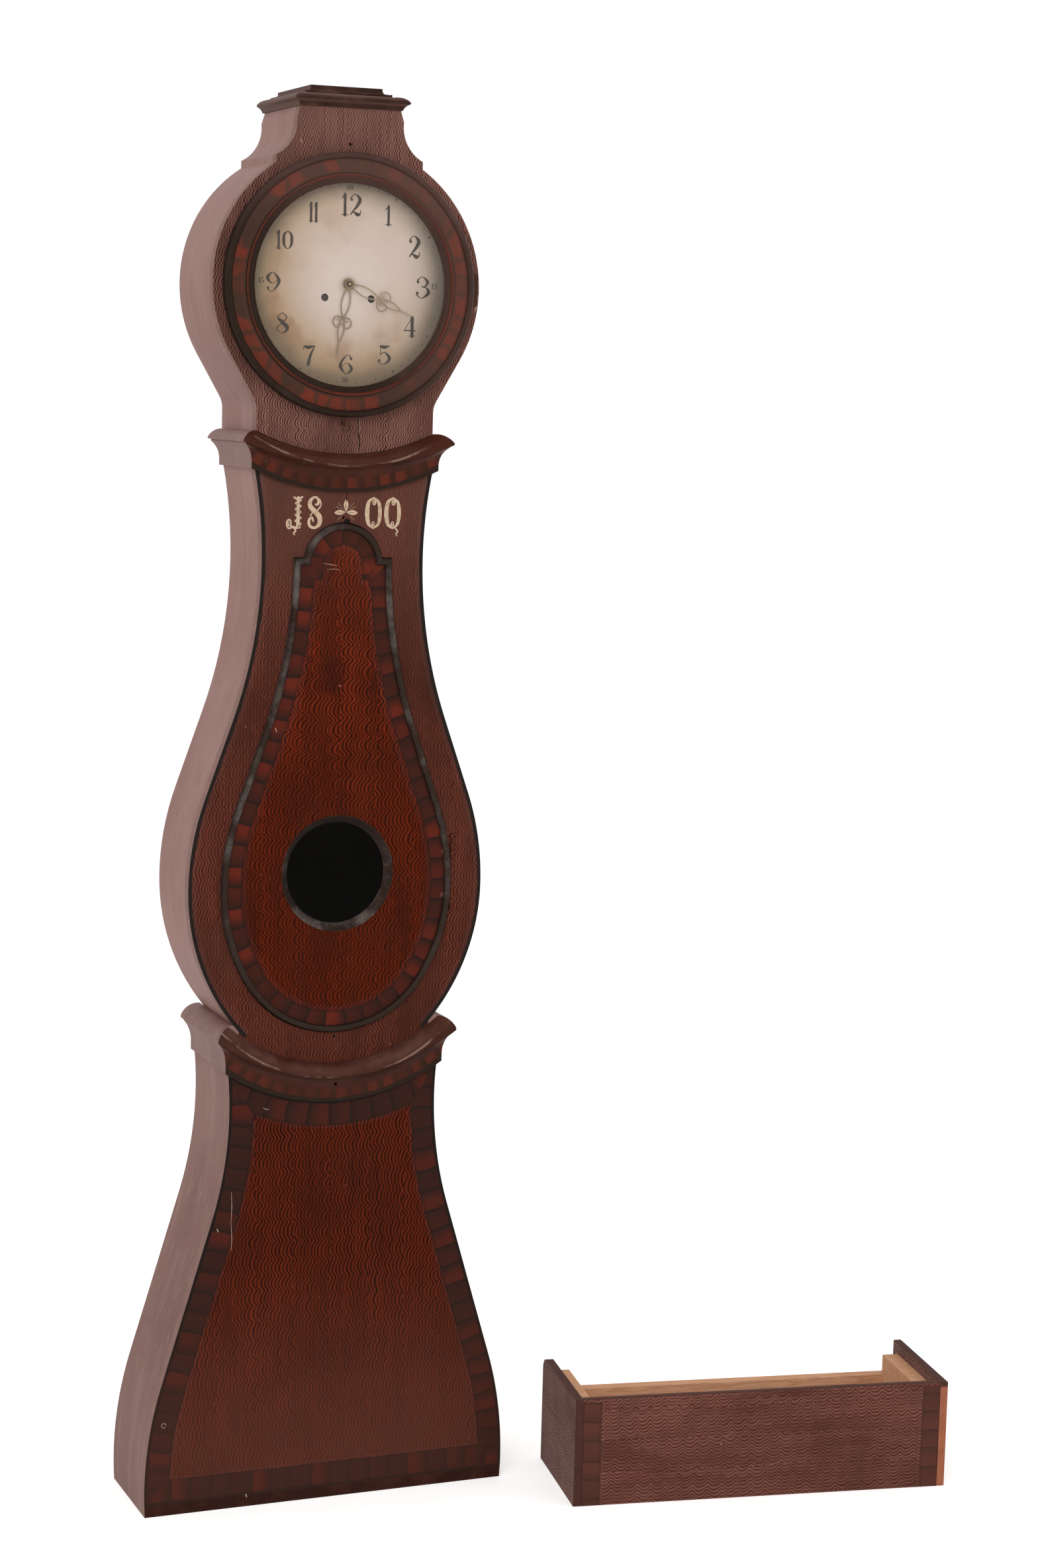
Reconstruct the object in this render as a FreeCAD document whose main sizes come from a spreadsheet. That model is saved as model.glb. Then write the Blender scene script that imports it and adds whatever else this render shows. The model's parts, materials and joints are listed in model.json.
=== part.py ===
import FreeCAD, Part
import math
import os
import re
import Sketcher
from FreeCAD import Placement, Rotation, Vector

# The sizes of the clock, in millimetres unless a line says otherwise.
# Heights are measured from the floor, depths from the front face of the case
# backwards, and half widths from the middle of the case.
SIZES = {
    # Boards of the case
    "board_thick": 18,
    "side_thick": 12,
    "back_thick": 15,
    "hood_side_thick": 8,
    "base_depth": 175,
    "trunk_depth": 154,
    "hood_depth": 169,
    # Outline of the base
    "foot_half": 282,
    "foot_height": 35,
    "base_waist_half": 159.7,
    "base_waist_drop": 56,
    "base_height": 661,
    "base_seam_sag": 44,
    "floor_gap": 1.5,
    # Outline of the trunk
    "trunk_foot_half": 147.6,
    "belly_half": 226,
    "belly_rise": 269,
    "belly_low_radius": 315,
    "waist_half": 122.9,
    "waist_rise": 478,
    "trunk_top_half": 135.8,
    "trunk_top_rise": 184,
    "hood_seam_sag": 31,
    "hood_seam_gap": 0.5,
    # Outline of the hood
    "hood_foot_half": 134,
    "hood_foot_rise": 30,
    "hood_foot_radius": 35,
    "head_rise": 179,
    "head_radius": 201,
    "shoulder_half": 110,
    "shoulder_rise": 179,
    "cove_half": 86,
    "cove_rise": 23,
    "neck_half": 80,
    "neck_rise": 31,
    "neck_top_half": 75,
    "hood_top_rise": 16,
    "hood_opening_radius": 152,
    "hood_back_gap": 1.5,
    # Mouldings
    "upper_lip": 24,
    "upper_middle_drop": 85,
    "upper_end_drop": 53,
    "lower_lip": 22,
    "lower_middle_drop": 51,
    "lower_middle_rise": 6,
    "lower_end_rise": 68,
    "cap_lip_half": 86,
    "cap_lip_rise": 9,
    "cap_step_half": 65,
    "cap_round_rise": 9,
    "cap_step_rise": 4.5,
    "cap_top_half": 54,
    "cap_top_rise": 13,
    "cap_back_overhang": 5,
    # Trunk door
    "door_margin": 49,
    "door_bottom_rise": 53,
    "door_shoulder_rise": 3,
    "door_arch_radius": 59.6,
    "door_arch_drop": 9,
    "door_gap": 1.5,
    "bead_width": 9,
    "bead_height": 6,
    "bead_round": 3.4,
    "window_rise": 20,
    "window_ring_outer": 86,
    "window_ring_inner": 75,
    "window_ring_depth": 12,
    "window_glass_thick": 2,
    "nail_hole_radius": 2.5,
    "upper_hole_drop": 122,
    "lower_hole_drop": 8,
    "moulding_hole_drop": 24,
    "neck_hole_rise": 198,
    # Hinges
    "hinge_radius": 3.2,
    "hinge_pin_radius": 1.5,
    "hinge_leaf_thick": 1.5,
    "hinge_clearance": 0.3,
    "pin_clearance": 0.05,
    "door_hinge_rise": 16,
    "door_hinge_length": 114,
    "door_hinge_leaf": 22,
    "door_hinge_half": 179,
    "bezel_hinge_length": 46,
    "bezel_hinge_leaf": 8,
    "bezel_hinge_half": 190.5,
    "bezel_hinge_forward": 1.5,
    # Bezel door of the dial
    "bezel_outer": 187,
    "bezel_bead_inner": 178,
    "bezel_band_inner": 157,
    "bezel_inner": 143.5,
    "bezel_depth": 20,
    "bezel_back_step": 3,
    "bezel_glass_radius": 148,
    "bezel_glass_back": 9,
    "bezel_glass_thick": 2,
    "catch_side": 5,
    "catch_drop": 196,
    "catch_pin_radius": 2.5,
    "catch_knob_radius": 5,
    "catch_finger_length": 14,
    "catch_finger_thick": 4,
    "catch_finger_turn": 205,
    # Dial and hands
    "dial_radius": 150,
    "dial_thick": 2,
    "dial_face_forward": 1,
    "dial_foot_radius": 3,
    "dial_foot_half": 60,
    "dial_foot_drop": 61,
    "dial_foot_rise": 69,
    "winding_hole_radius": 5.5,
    "centre_hole_radius": 5.8,
    "hand_thick": 0.8,
    "hour_hand_length": 104,
    "minute_hand_length": 107,
    "hour_hand_turn": 189.5,
    "minute_hand_turn": 114,
    "hand_bar_width": 1.5,
    "hour_hand_forward": 2.8,
    "minute_hand_forward": 5.2,
    "hand_nut_radius": 3,
    "hand_nut_thick": 2,
    # Movement
    "centre_rise": 2,
    "plate_half": 76,
    "plate_drop": 81,
    "plate_rise": 89,
    "plate_thick": 3,
    "front_plate_depth": 24,
    "plate_space": 58,
    "pillar_radius": 5,
    "pillar_inset": 9,
    "pivot_radius": 1,
    "arbor_radius": 1.6,
    "arbor_shake": 0.3,
    "centre_arbor_radius": 2,
    "root_depth": 1.25,
    "tip_height": 0.95,
    "hub_radius": 6,
    "spoke_width": 4,
    "rim_width": 3,
    "cannon_depth": 11.5,
    "pallet_clearance": 1.6,
    "pallet_angle": 48,
    "winding_half": 35,
    "winding_drop": 20,
    "great_teeth": 72,
    "centre_teeth": 48,
    "third_teeth": 45,
    "pinion_leaves": 6,
    "escape_teeth": 30,
    "escape_radius": 22,
    "centre_module": 1.0,
    "third_module": 1.0,
    "third_angle": 55,
    "wheel_thick": 2.4,
    "pinion_length": 7,
    "barrel_radius": 20,
    "barrel_flange_radius": 23,
    "barrel_length": 34,
    "barrel_flange_thick": 2,
    "barrel_depth": 36,
    "barrel_arbor_radius": 3.5,
    "winding_square": 5.6,
    "winding_end_depth": 3,
    "strike_wheel_depth": 30,
    "going_wheel_depth": 73,
    "centre_wheel_depth": 79.5,
    "third_wheel_depth": 50,
    "escape_wheel_depth": 58,
    "anchor_rise": 32,
    "anchor_thick": 4,
    "pin_wheel_teeth": 48,
    "pin_wheel_angle": 80,
    "pin_wheel_depth": 73,
    "pin_radius": 1.2,
    "pin_count": 8,
    "warning_teeth": 45,
    "warning_angle": 100,
    "warning_wheel_depth": 40,
    "fly_angle": 75,
    "fly_half_width": 12,
    "fly_depth": 66,
    "fly_length": 14,
    "cannon_teeth": 12,
    "minute_wheel_teeth": 36,
    "minute_pinion_teeth": 10,
    "hour_wheel_teeth": 40,
    "motion_spacing": 21,
    "minute_wheel_depth": 13,
    "hour_wheel_depth": 7.5,
    "cannon_pipe_radius": 3.2,
    "hour_pipe_radius": 5,
    "running_clearance": 0.05,
    # Pendulum, bell and hammer
    "pendulum_depth": 105,
    "pendulum_length": 992,
    "pendulum_rod_radius": 2.5,
    "bob_radius": 55,
    "bob_thick": 26,
    "bob_edge_thick": 3,
    "rating_nut_radius": 9,
    "rating_nut_height": 8,
    "spring_thick": 0.4,
    "spring_width": 8,
    "spring_rise": 12,
    "crutch_length": 88,
    "crutch_gap": 0.5,
    "crutch_depth": 89,
    "cock_half": 14,
    "cock_arm_half": 8,
    "cock_thick": 4,
    "cock_arm_rise": 13,
    "cock_reach": 26,
    "cock_leg_gap": 7,
    "bell_radius": 34,
    "bell_height": 24,
    "bell_wall": 2.2,
    "bell_rise": 12,
    "bell_post_radius": 2.5,
    "bell_strap_half": 5,
    "bell_strap_angle": 50,
    "hammer_half": 60,
    "hammer_rise": 69,
    "hammer_gap": 2,
    "hammer_head_radius": 5,
    "hammer_head_length": 14,
    # Seat board, weights and lines
    "seat_thick": 22,
    "seat_half": 114,
    "seat_front": 22,
    "seat_back": 94,
    "cheek_inner_half": 98,
    "cheek_drop": 152,
    "cheek_front": 30,
    "cheek_back": 112,
    "line_radius": 1.1,
    "line_hole_radius": 4,
    "pulley_pin_radius": 2,
    "pulley_thick": 8,
    "pulley_drop": 116,
    "strap_thick": 2,
    "weight_radius": 26,
    "weight_height": 210,
    "weight_drop": 48,
    "weight_hook_radius": 3,
    "weight_round": 5,
    "strap_half": 5,
    "weight_depth": 53,
    "line_knot_radius": 5.5,
    # Loose plinth, standing beside the clock
    "plinth_side_place": 338,
    "plinth_front_place": 156,
    "plinth_turn": 9.45,
    "plinth_length": 589,
    "plinth_width": 214,
    "plinth_height": 165,
    "plinth_board": 12,
    "plinth_lining_thick": 25,
    "plinth_lining_drop": 17,
    "plinth_back_drop": 50,
    "plinth_back_thick": 20,
    "plinth_round": 5,
    "plinth_corner_round": 20,
}

# Heights above the floor, each worked out in the sheet from the one below or beside it.
HEIGHTS = {
    "base_waist_height": "base_height - base_waist_drop",
    "belly_height": "base_height + belly_rise",
    "waist_height": "belly_height + waist_rise",
    "trunk_top": "waist_height + trunk_top_rise",
    "hood_foot_height": "trunk_top + hood_foot_rise",
    "head_height": "hood_foot_height + head_rise",
    "shoulder_top": "head_height + shoulder_rise",
    "cove_height": "shoulder_top + cove_rise",
    "neck_height": "cove_height + neck_rise",
    "hood_top": "neck_height + hood_top_rise",
    "cap_lip_height": "hood_top + cap_lip_rise",
    "cap_step_height": "cap_lip_height + cap_round_rise",
    "cap_top": "cap_step_height + cap_top_rise",
    "upper_middle_bottom": "trunk_top - upper_middle_drop",
    "upper_end_bottom": "trunk_top - upper_end_drop",
    "lower_middle_bottom": "base_height - lower_middle_drop",
    "lower_middle_top": "base_height + lower_middle_rise",
    "lower_end_top": "base_height + lower_end_rise",
    "door_bottom": "base_height + door_bottom_rise",
    "door_shoulder_height": "waist_height + door_shoulder_rise",
    "door_arch_centre": "door_shoulder_height - door_arch_drop",
    "window_height": "belly_height + window_rise",
    "upper_hole_height": "trunk_top - upper_hole_drop",
    "lower_hole_height": "door_bottom - lower_hole_drop",
    "moulding_hole_height": "base_height - moulding_hole_drop",
    "neck_hole_height": "head_height + neck_hole_rise",
    "door_hinge_height": "belly_height + door_hinge_rise",
    "catch_height": "head_height - catch_drop",
    "dial_foot_low": "head_height - dial_foot_drop",
    "dial_foot_high": "head_height + dial_foot_rise",
    "centre_height": "head_height + centre_rise",
    "plate_bottom": "centre_height - plate_drop",
    "plate_top": "centre_height + plate_rise",
    "bell_bottom": "plate_top + bell_rise",
    "hammer_height": "centre_height + hammer_rise",
    "cheek_bottom": "trunk_top - cheek_drop",
    "pulley_height": "plate_bottom - pulley_drop",
    "seat_top": "plate_bottom",
}

# Shares of the largest pair of arcs that can join a bulge to a waist in one smooth line.
BASE_BEND_SHARES = (0.4030, 0.4066)
TRUNK_BEND_SHARES = (0.3449, 0.5950)

# Shares of a moulding's lip and height, from its lower back edge up its front.
MOULDING_SHARES = {
    "fillet": (0.26, 0.0),
    "fillet_top": (0.26, 0.17),
    "cove_middle": (0.42, 0.46),
    "cove_top": (0.80, 0.66),
    "step": (0.80, 0.71),
    "lip_bottom": (1.0, 0.72),
    "lip_top": (1.0, 0.77),
    "thumb_middle": (0.66, 0.93),
    "top": (0.0, 1.0),
}
MOULDING_STATIONS = 9

# Shares of a tooth's pitch that its flanks keep, from the root to the tip.
WHEEL_TOOTH_SHARES = (0.46, 0.42, 0.14)
LEAF_TOOTH_SHARES = (0.22, 0.36, 0.14)

# Shares of a hand's length at which its parts lie, from the boss to the point.
HAND_SHARES = {"boss": 0.055, "lyre": 0.13, "knot": 0.46, "scroll": 0.52, "fork": 0.62, "join": 0.80}

doc = FreeCAD.newDocument("MoraClock")
sheet = doc.addObject("Spreadsheet::Sheet", "Sizes")
for row, (alias, amount) in enumerate(SIZES.items(), 1):
    sheet.set("A%d" % row, alias)
    sheet.set("B%d" % row, str(amount))
    sheet.setAlias("B%d" % row, alias)
for row, (alias, formula) in enumerate(HEIGHTS.items(), len(SIZES) + 1):
    sheet.set("A%d" % row, alias)
    sheet.set("B%d" % row, "=" + formula)
    sheet.setAlias("B%d" % row, alias)
doc.recompute()


class Values:
    """The sheet's numbers by name, for what an expression can't drive."""

    def __getattr__(self, alias):
        return float(sheet.get(alias))


v = Values()
FRONT = "(-base_depth / 2)"
front_y = -v.base_depth / 2
NODES = []


def expression(words):
    """Size names in plain words, turned into names in the sheet."""
    return re.sub(r"\b([a-z]+_[a-z_]+)\b", r"Sizes.\1", str(words))


def bind(thing, **sizes):
    """Ties each named property of an object to sizes in the sheet."""
    for name, words in sizes.items():
        thing.setExpression(name, expression(words))


def place(thing, x="0", y="0", z="0"):
    """Ties an object's place to sizes; y counts from the front face backwards."""
    thing.setExpression(".Placement.Base.x", expression(x))
    thing.setExpression(".Placement.Base.y", expression("%s + (%s)" % (FRONT, y)))
    thing.setExpression(".Placement.Base.z", expression(z))
    return thing


def node(thing, label):
    """Marks an object as one of the pieces that are written out."""
    thing.Label = label
    NODES.append(thing)
    return thing


def shape_node(label, shape):
    """A piece whose shape is worked out here from the sheet's numbers."""
    feature = doc.addObject("Part::Feature", label)
    feature.Shape = shape
    return node(feature, label)


def on_circle(centre, radius, degrees):
    angle = math.radians(degrees)
    return (centre[0] + radius * math.cos(angle), centre[1] + radius * math.sin(angle))


def bearing(centre, point):
    return math.degrees(math.atan2(point[1] - centre[1], point[0] - centre[0]))


class Run:
    """A run of straight lines and arcs in a flat plane."""

    def __init__(self, start):
        self.parts = []
        self.here = start

    def line(self, end):
        if math.dist(self.here, end) > 1e-6:
            self.parts.append((self.here, end))
        self.here = end
        return self

    def bend(self, middle, end):
        self.parts.append((self.here, middle, end))
        self.here = end
        return self

    def around(self, centre, radius, end):
        """An arc of a circle from here to a point on it, the short way."""
        first = bearing(centre, self.here)
        sweep = (bearing(centre, end) - first + 180) % 360 - 180
        return self.bend(on_circle(centre, radius, first + sweep / 2), end)

    def add(self, other):
        self.line(other.parts[0][0])
        self.parts += other.parts
        self.here = other.here
        return self

    def back(self):
        """The same run walked the other way."""
        turned = Run(self.here)
        turned.parts = [part[::-1] for part in self.parts[::-1]]
        turned.here = self.parts[0][0]
        return turned

    def mirror(self):
        """The same run on the other side of the middle, walked the other way."""
        turned = Run((-self.here[0], self.here[1]))
        turned.parts = [tuple((-x, z) for x, z in part[::-1]) for part in self.parts[::-1]]
        turned.here = (-self.parts[0][0][0], self.parts[0][0][1])
        return turned

    def curves(self):
        """The run as flat curves for a sketch."""
        made = []
        for part in self.parts:
            points = [Vector(x, z, 0) for x, z in part]
            made.append(Part.LineSegment(*points) if len(points) == 2 else Part.Arc(*points))
        return made

    def wire(self, where):
        """The run as a wire, each point placed by a function."""
        edges = []
        for part in self.parts:
            points = [where(*point) for point in part]
            curve = Part.LineSegment(*points) if len(points) == 2 else Part.Arc(*points)
            edges.append(curve.toShape())
        return Part.Wire(edges)


def tangent_normal(lower, lower_radius, upper, upper_radius):
    """The direction of both radii where one straight line touches both circles between them."""
    away = (upper[0] - lower[0], upper[1] - lower[1])
    turn = math.acos((lower_radius + upper_radius) / math.hypot(*away))
    angle = math.atan2(away[1], away[0])
    return angle - turn, angle + turn


def along(centre, radius, angle):
    return (centre[0] + radius * math.cos(angle), centre[1] + radius * math.sin(angle))


def bend_radii(bulge, waist, shares):
    """The radii of the two arcs between a bulge and a waist, from their shares of the largest pair."""
    across = bulge[0] - waist[0]
    most = (across**2 + (bulge[1] - waist[1]) ** 2) / (2 * across)
    return most * shares[0], most * shares[1]


def base_run(inset):
    """The right side of the base from the floor up, moved inwards by an inset."""
    low, high = bend_radii((v.foot_half, v.foot_height), (v.base_waist_half, v.base_waist_height),
                           BASE_BEND_SHARES)
    foot = (v.foot_half - low, v.foot_height)
    waist = (v.base_waist_half + high, v.base_waist_height)
    low -= inset
    high += inset
    angle = tangent_normal(foot, low, waist, high)[0]
    leave = along(foot, low, angle)
    reach = along(waist, -high, angle)
    run = Run((foot[0] + math.sqrt(low**2 - foot[1] ** 2), 0.0))
    run.around(foot, low, leave).line(reach)
    rise = v.base_height - waist[1]
    return run.around(waist, high, (waist[0] - math.sqrt(high**2 - rise**2), v.base_height))


def trunk_bend(inset, margin=0.0):
    """The circles of the trunk's side: low belly, high belly and waist, and the straight between."""
    high_radius, waist_radius = bend_radii((v.belly_half, v.belly_height), (v.waist_half, v.waist_height),
                                           TRUNK_BEND_SHARES)
    low = (v.belly_half - v.belly_low_radius, v.belly_height)
    high = (v.belly_half - high_radius, v.belly_height)
    waist = (v.waist_half + waist_radius, v.waist_height)
    inset = inset + margin
    high_radius -= inset
    waist_radius += inset
    angle = tangent_normal(high, high_radius, waist, waist_radius)[0]
    leave = along(high, high_radius, angle)
    reach = along(waist, -waist_radius, angle)
    return low, v.belly_low_radius - inset, high, high_radius, waist, waist_radius, leave, reach


def trunk_run(inset):
    """The right side of the trunk from the top of the base up to the hood."""
    low, low_radius, high, high_radius, waist, waist_radius, leave, reach = trunk_bend(inset)
    foot = v.trunk_foot_half - inset
    top = v.trunk_top_half - inset
    foot_z = low[1] - math.sqrt(low_radius**2 - (foot - low[0]) ** 2)
    top_z = waist[1] + math.sqrt(waist_radius**2 - (waist[0] - top) ** 2)
    run = Run((foot, v.base_height)).line((foot, foot_z))
    run.around(low, low_radius, (low[0] + low_radius, low[1]))
    run.around(high, high_radius, leave).line(reach)
    return run.around(waist, waist_radius, (top, top_z)).line((top, v.trunk_top))


def door_run(inset):
    """The right side of the trunk door from its lowest point up to the top of its arch."""
    low, low_radius, high, high_radius, waist, waist_radius, leave, reach = trunk_bend(inset, v.door_margin)
    reached = v.belly_low_radius - v.door_margin + v.door_bottom
    centre_z = (reached**2 - low[0] ** 2 - low[1] ** 2) / (2 * (reached - low[1]))
    bottom = (0.0, centre_z)
    radius = centre_z - v.door_bottom - inset
    touch = on_circle(low, low_radius, bearing(low, bottom))
    shoulder = v.door_shoulder_height - inset
    corner_x = waist[0] - math.sqrt(waist_radius**2 - (shoulder - waist[1]) ** 2)
    arch = (0.0, v.door_arch_centre)
    arch_radius = v.door_arch_radius - inset
    arch_x = math.sqrt(arch_radius**2 - (shoulder - arch[1]) ** 2)
    run = Run((0.0, centre_z - radius)).around(bottom, radius, touch)
    run.around(low, low_radius, (low[0] + low_radius, low[1])).around(high, high_radius, leave)
    run.line(reach).around(waist, waist_radius, (corner_x, shoulder)).line((arch_x, shoulder))
    return run.around(arch, arch_radius, (0.0, arch[1] + arch_radius))


def hood_run(inset):
    """The right side of the hood from the trunk up to the foot of its shoulder."""
    foot = (v.hood_foot_half + v.hood_foot_radius, v.hood_foot_height)
    foot_radius = v.hood_foot_radius + inset
    head = (0.0, v.head_height)
    head_radius = v.head_radius - inset
    angle = tangent_normal(head, head_radius, foot, foot_radius)[1]
    run = Run((foot[0] - foot_radius, v.trunk_top)).line((foot[0] - foot_radius, foot[1]))
    run.around(foot, foot_radius, along(foot, -foot_radius, angle)).line(along(head, head_radius, angle))
    shoulder = math.degrees(math.acos(v.shoulder_half / v.head_radius))
    return run.around(head, head_radius, on_circle(head, head_radius, shoulder))


def shoulder_run():
    """The outside of the shoulder and neck, from the head up to the cap."""
    top = (v.neck_top_half, v.hood_top)
    run = Run((v.shoulder_half, v.head_height + math.sqrt(v.head_radius**2 - v.shoulder_half**2)))
    run.line((v.shoulder_half, v.shoulder_top))
    return run.bend((v.cove_half, v.cove_height), (v.neck_half, v.neck_height)).line(top)


def seam(half, height, sag):
    """A sagging joint between two front boards, from the right end to the left end."""
    return Run((half, height)).bend((0.0, height - sag), (-half, height))


def closed(run):
    """Both sides of an outline, from a run that starts and ends in the middle or joins level."""
    whole = Run(run.parts[0][0]).add(run).add(run.mirror())
    return whole.line(run.parts[0][0])


def plane(body, role):
    return next(item for item in body.Origin.OriginFeatures if item.Role == role)


def sketch_on(body, role, curves, label):
    """A sketch on one of the body's own planes, with its curves held where they are drawn."""
    sketch = body.newObject("Sketcher::SketchObject", label)
    sketch.AttachmentSupport = (plane(body, role), [""])
    sketch.MapMode = "FlatFace"
    sketch.addGeometry(curves, False)
    sketch.addConstraint([Sketcher.Constraint("Block", place_in) for place_in in range(len(curves))])
    return sketch


def circle_at(x, z, radius):
    return Part.Circle(Vector(x, z, 0), Vector(0, 0, 1), radius)


def board(label, curves, near, thick):
    """A board cut to an outline seen from the front: near is its front face's depth."""
    body = doc.addObject("PartDesign::Body", label)
    sketch = sketch_on(body, "XZ_Plane", curves, label + "_outline")
    pad = body.newObject("PartDesign::Pad", label + "_pad")
    pad.Profile = sketch
    pad.Reversed = True
    bind(pad, Length=thick)
    place(body, y=near)
    return body


def turned(label, run, axis, x="0", y="0", z="0"):
    """A turned piece: its half section, spun about its own Y or Z axis."""
    body = doc.addObject("PartDesign::Body", label)
    role = {"Y": "XY_Plane", "Z": "XZ_Plane"}[axis]
    sketch = sketch_on(body, role, run.curves(), label + "_section")
    spin = body.newObject("PartDesign::Revolution", label + "_turning")
    spin.Profile = sketch
    spin.ReferenceAxis = (plane(body, axis + "_Axis"), [""])
    spin.Angle = 360.0
    return place(body, x, y, z)


def box(label, x, y, z, long, deep, high):
    """A plain board or bar from its lowest corner, every number an expression on sizes."""
    solid = doc.addObject("Part::Box", label)
    bind(solid, Length=long, Width=deep, Height=high)
    return place(solid, x, y, z)


AXES = {"X": Rotation(Vector(0, 1, 0), 90), "Y": Rotation(Vector(1, 0, 0), -90), "Z": Rotation()}


def rod(label, x, y, z, radius, length, axis="Y"):
    """A round rod or hole along an axis, starting at a point and running the positive way."""
    solid = doc.addObject("Part::Cylinder", label)
    bind(solid, Radius=radius, Height=length)
    solid.Placement = Placement(Vector(), AXES[axis])
    return place(solid, x, y, z)


def cut(label, base, tools):
    """A piece with other shapes taken away from it."""
    taken = tools[0]
    if len(tools) > 1:
        taken = doc.addObject("Part::MultiFuse", label + "_cuts")
        taken.Shapes = tools
    result = doc.addObject("Part::Cut", label)
    result.Base = base
    result.Tool = taken
    return result


def fuse(label, pieces):
    result = doc.addObject("Part::MultiFuse", label)
    result.Shapes = pieces
    return result


def group(label, pieces):
    """Separate solids that share one node."""
    result = doc.addObject("Part::Compound", label)
    result.Links = pieces
    return result


def mirrored(label, piece):
    """The same piece on the left side of the case."""
    result = doc.addObject("Part::Mirroring", label)
    result.Source = piece
    result.Normal = Vector(1, 0, 0)
    return result


def front_point(x, z, depth=0.0):
    """A point seen from the front, at a depth behind the front face."""
    return Vector(x, front_y + depth, z)


def make_base():
    """The base: a front board, two bent sides and a bottom board."""
    side = base_run(0.0)
    level = Run((v.trunk_foot_half, v.base_height))
    across = seam(v.trunk_foot_half, v.base_height, v.base_seam_sag)
    outline = Run(side.parts[0][0]).add(side).line(level.here).add(across).add(side.mirror())
    outline.line(side.parts[0][0])
    node(board("base_front_board", outline.curves(), "0", "board_thick"), "base_front_board")
    strip = Run(side.parts[0][0]).add(side).add(base_run(v.side_thick).back()).line(side.parts[0][0])
    depth = "base_depth - board_thick"
    right = board("base_side_right", strip.curves(), "board_thick", depth)
    node(group("base_sides", [right, mirrored("base_side_left", right)]), "base_sides")
    half = "(foot_half - side_thick - floor_gap)"
    bottom = box("base_bottom_board", "-" + half, "board_thick", "0", "2 * " + half,
                 "trunk_depth - back_thick - board_thick", "board_thick")
    node(bottom, "base_bottom_board")


def make_trunk():
    """The trunk: a front board with the door's opening and the old nail holes, and two bent sides."""
    side = trunk_run(0.0)
    foot = seam(v.trunk_foot_half, v.base_height, v.base_seam_sag)
    top = seam(v.trunk_top_half, v.trunk_top, v.hood_seam_sag)
    outline = Run(side.parts[0][0]).add(side).add(top).add(side.mirror()).add(foot.back())
    opening = closed(door_run(-v.door_gap))
    holes = [circle_at(0, height, v.nail_hole_radius)
             for height in (v.upper_hole_height, v.lower_hole_height)]
    curves = outline.curves() + opening.curves() + holes
    blank = board("trunk_front_blank", curves, "0", "board_thick")
    half, depth, leaf_depth, height, length, leaf = DOOR_HINGE
    cuts = [knuckle_groove("trunk_knuckle_groove", half, depth, height, length),
            hinge_recess("trunk_leaf_bed", "%s - %s - hinge_clearance" % (half, leaf), leaf_depth,
                         height, length, "2 * %s + hinge_clearance" % leaf)]
    node(cut("trunk_front_board", blank, cuts), "trunk_front_board")
    strip = Run(side.parts[0][0]).add(side).add(trunk_run(v.side_thick).back()).line(side.parts[0][0])
    depth = "trunk_depth - board_thick"
    right = board("trunk_side_right", strip.curves(), "board_thick", depth)
    node(group("trunk_sides", [right, mirrored("trunk_side_left", right)]), "trunk_sides")


def make_backboard():
    """One tall board that closes the base and trunk and rises inside the hood."""
    run = base_run(v.side_thick).add(trunk_run(v.side_thick))
    head = (0.0, v.head_height)
    inset = v.hood_side_thick + v.hood_back_gap
    radius = v.head_radius - inset
    neck = v.neck_top_half - inset
    hood = hood_run(inset)
    last = hood.parts.pop()
    hood.here = last[0]
    hood.around(head, radius, (neck, v.head_height + math.sqrt(radius**2 - neck**2)))
    hood.line((neck, v.hood_top - v.hood_back_gap))
    run.add(hood)
    run.line((0.0, v.hood_top - v.hood_back_gap))
    start = (0.0, 0.0)
    half = Run(start).add(run)
    node(board("backboard", closed(half).curves(), "trunk_depth - back_thick", "back_thick"), "backboard")


def raised(face, thick):
    """A flat face seen from the front, given a thickness backwards."""
    solid = face.extrude(Vector(0, thick, 0))
    return solid if solid.Volume > 0 else solid.reversed()


def moulding_run(lip, bottom, top):
    """A moulding's front edge in section: how far it stands out, and its height."""
    def at(name):
        out, up = MOULDING_SHARES[name]
        return (lip * out, bottom + (top - bottom) * up)

    run = Run((0.0, bottom)).line(at("fillet")).line(at("fillet_top"))
    run.bend(at("cove_middle"), at("cove_top")).line(at("step")).line(at("lip_bottom"))
    run.line(at("lip_top")).bend(at("thumb_middle"), at("top"))
    return run.line((0.0, bottom))


def front_moulding(label, half, lip, middle, end, hole=None):
    """A moulding bent across the front, from mitre to mitre: middle and end are (bottom, top)."""
    sections = []
    radius = (half**2 + (end[0] - middle[0]) ** 2) / (2 * (end[0] - middle[0]))
    full_sag = radius - math.sqrt(radius**2 - half**2)
    for station in range(MOULDING_STATIONS):
        share = 2 * station / (MOULDING_STATIONS - 1) - 1
        lift = (radius - math.sqrt(radius**2 - (half * share) ** 2)) / full_sag
        bottom = middle[0] + (end[0] - middle[0]) * lift
        top = middle[1] + (end[1] - middle[1]) * lift
        section = moulding_run(lip, bottom, top)
        where = lambda out, z, share=share: Vector(share * (half + out), front_y - out, z)
        sections.append(section.wire(where))
    shape = Part.makeLoft(sections, True, False)
    if hole:
        drill = Part.makeCylinder(v.nail_hole_radius, lip, front_point(0, hole, -lip), Vector(0, 1, 0))
        shape = shape.cut(drill)
    return shape_node(label, shape)


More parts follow.
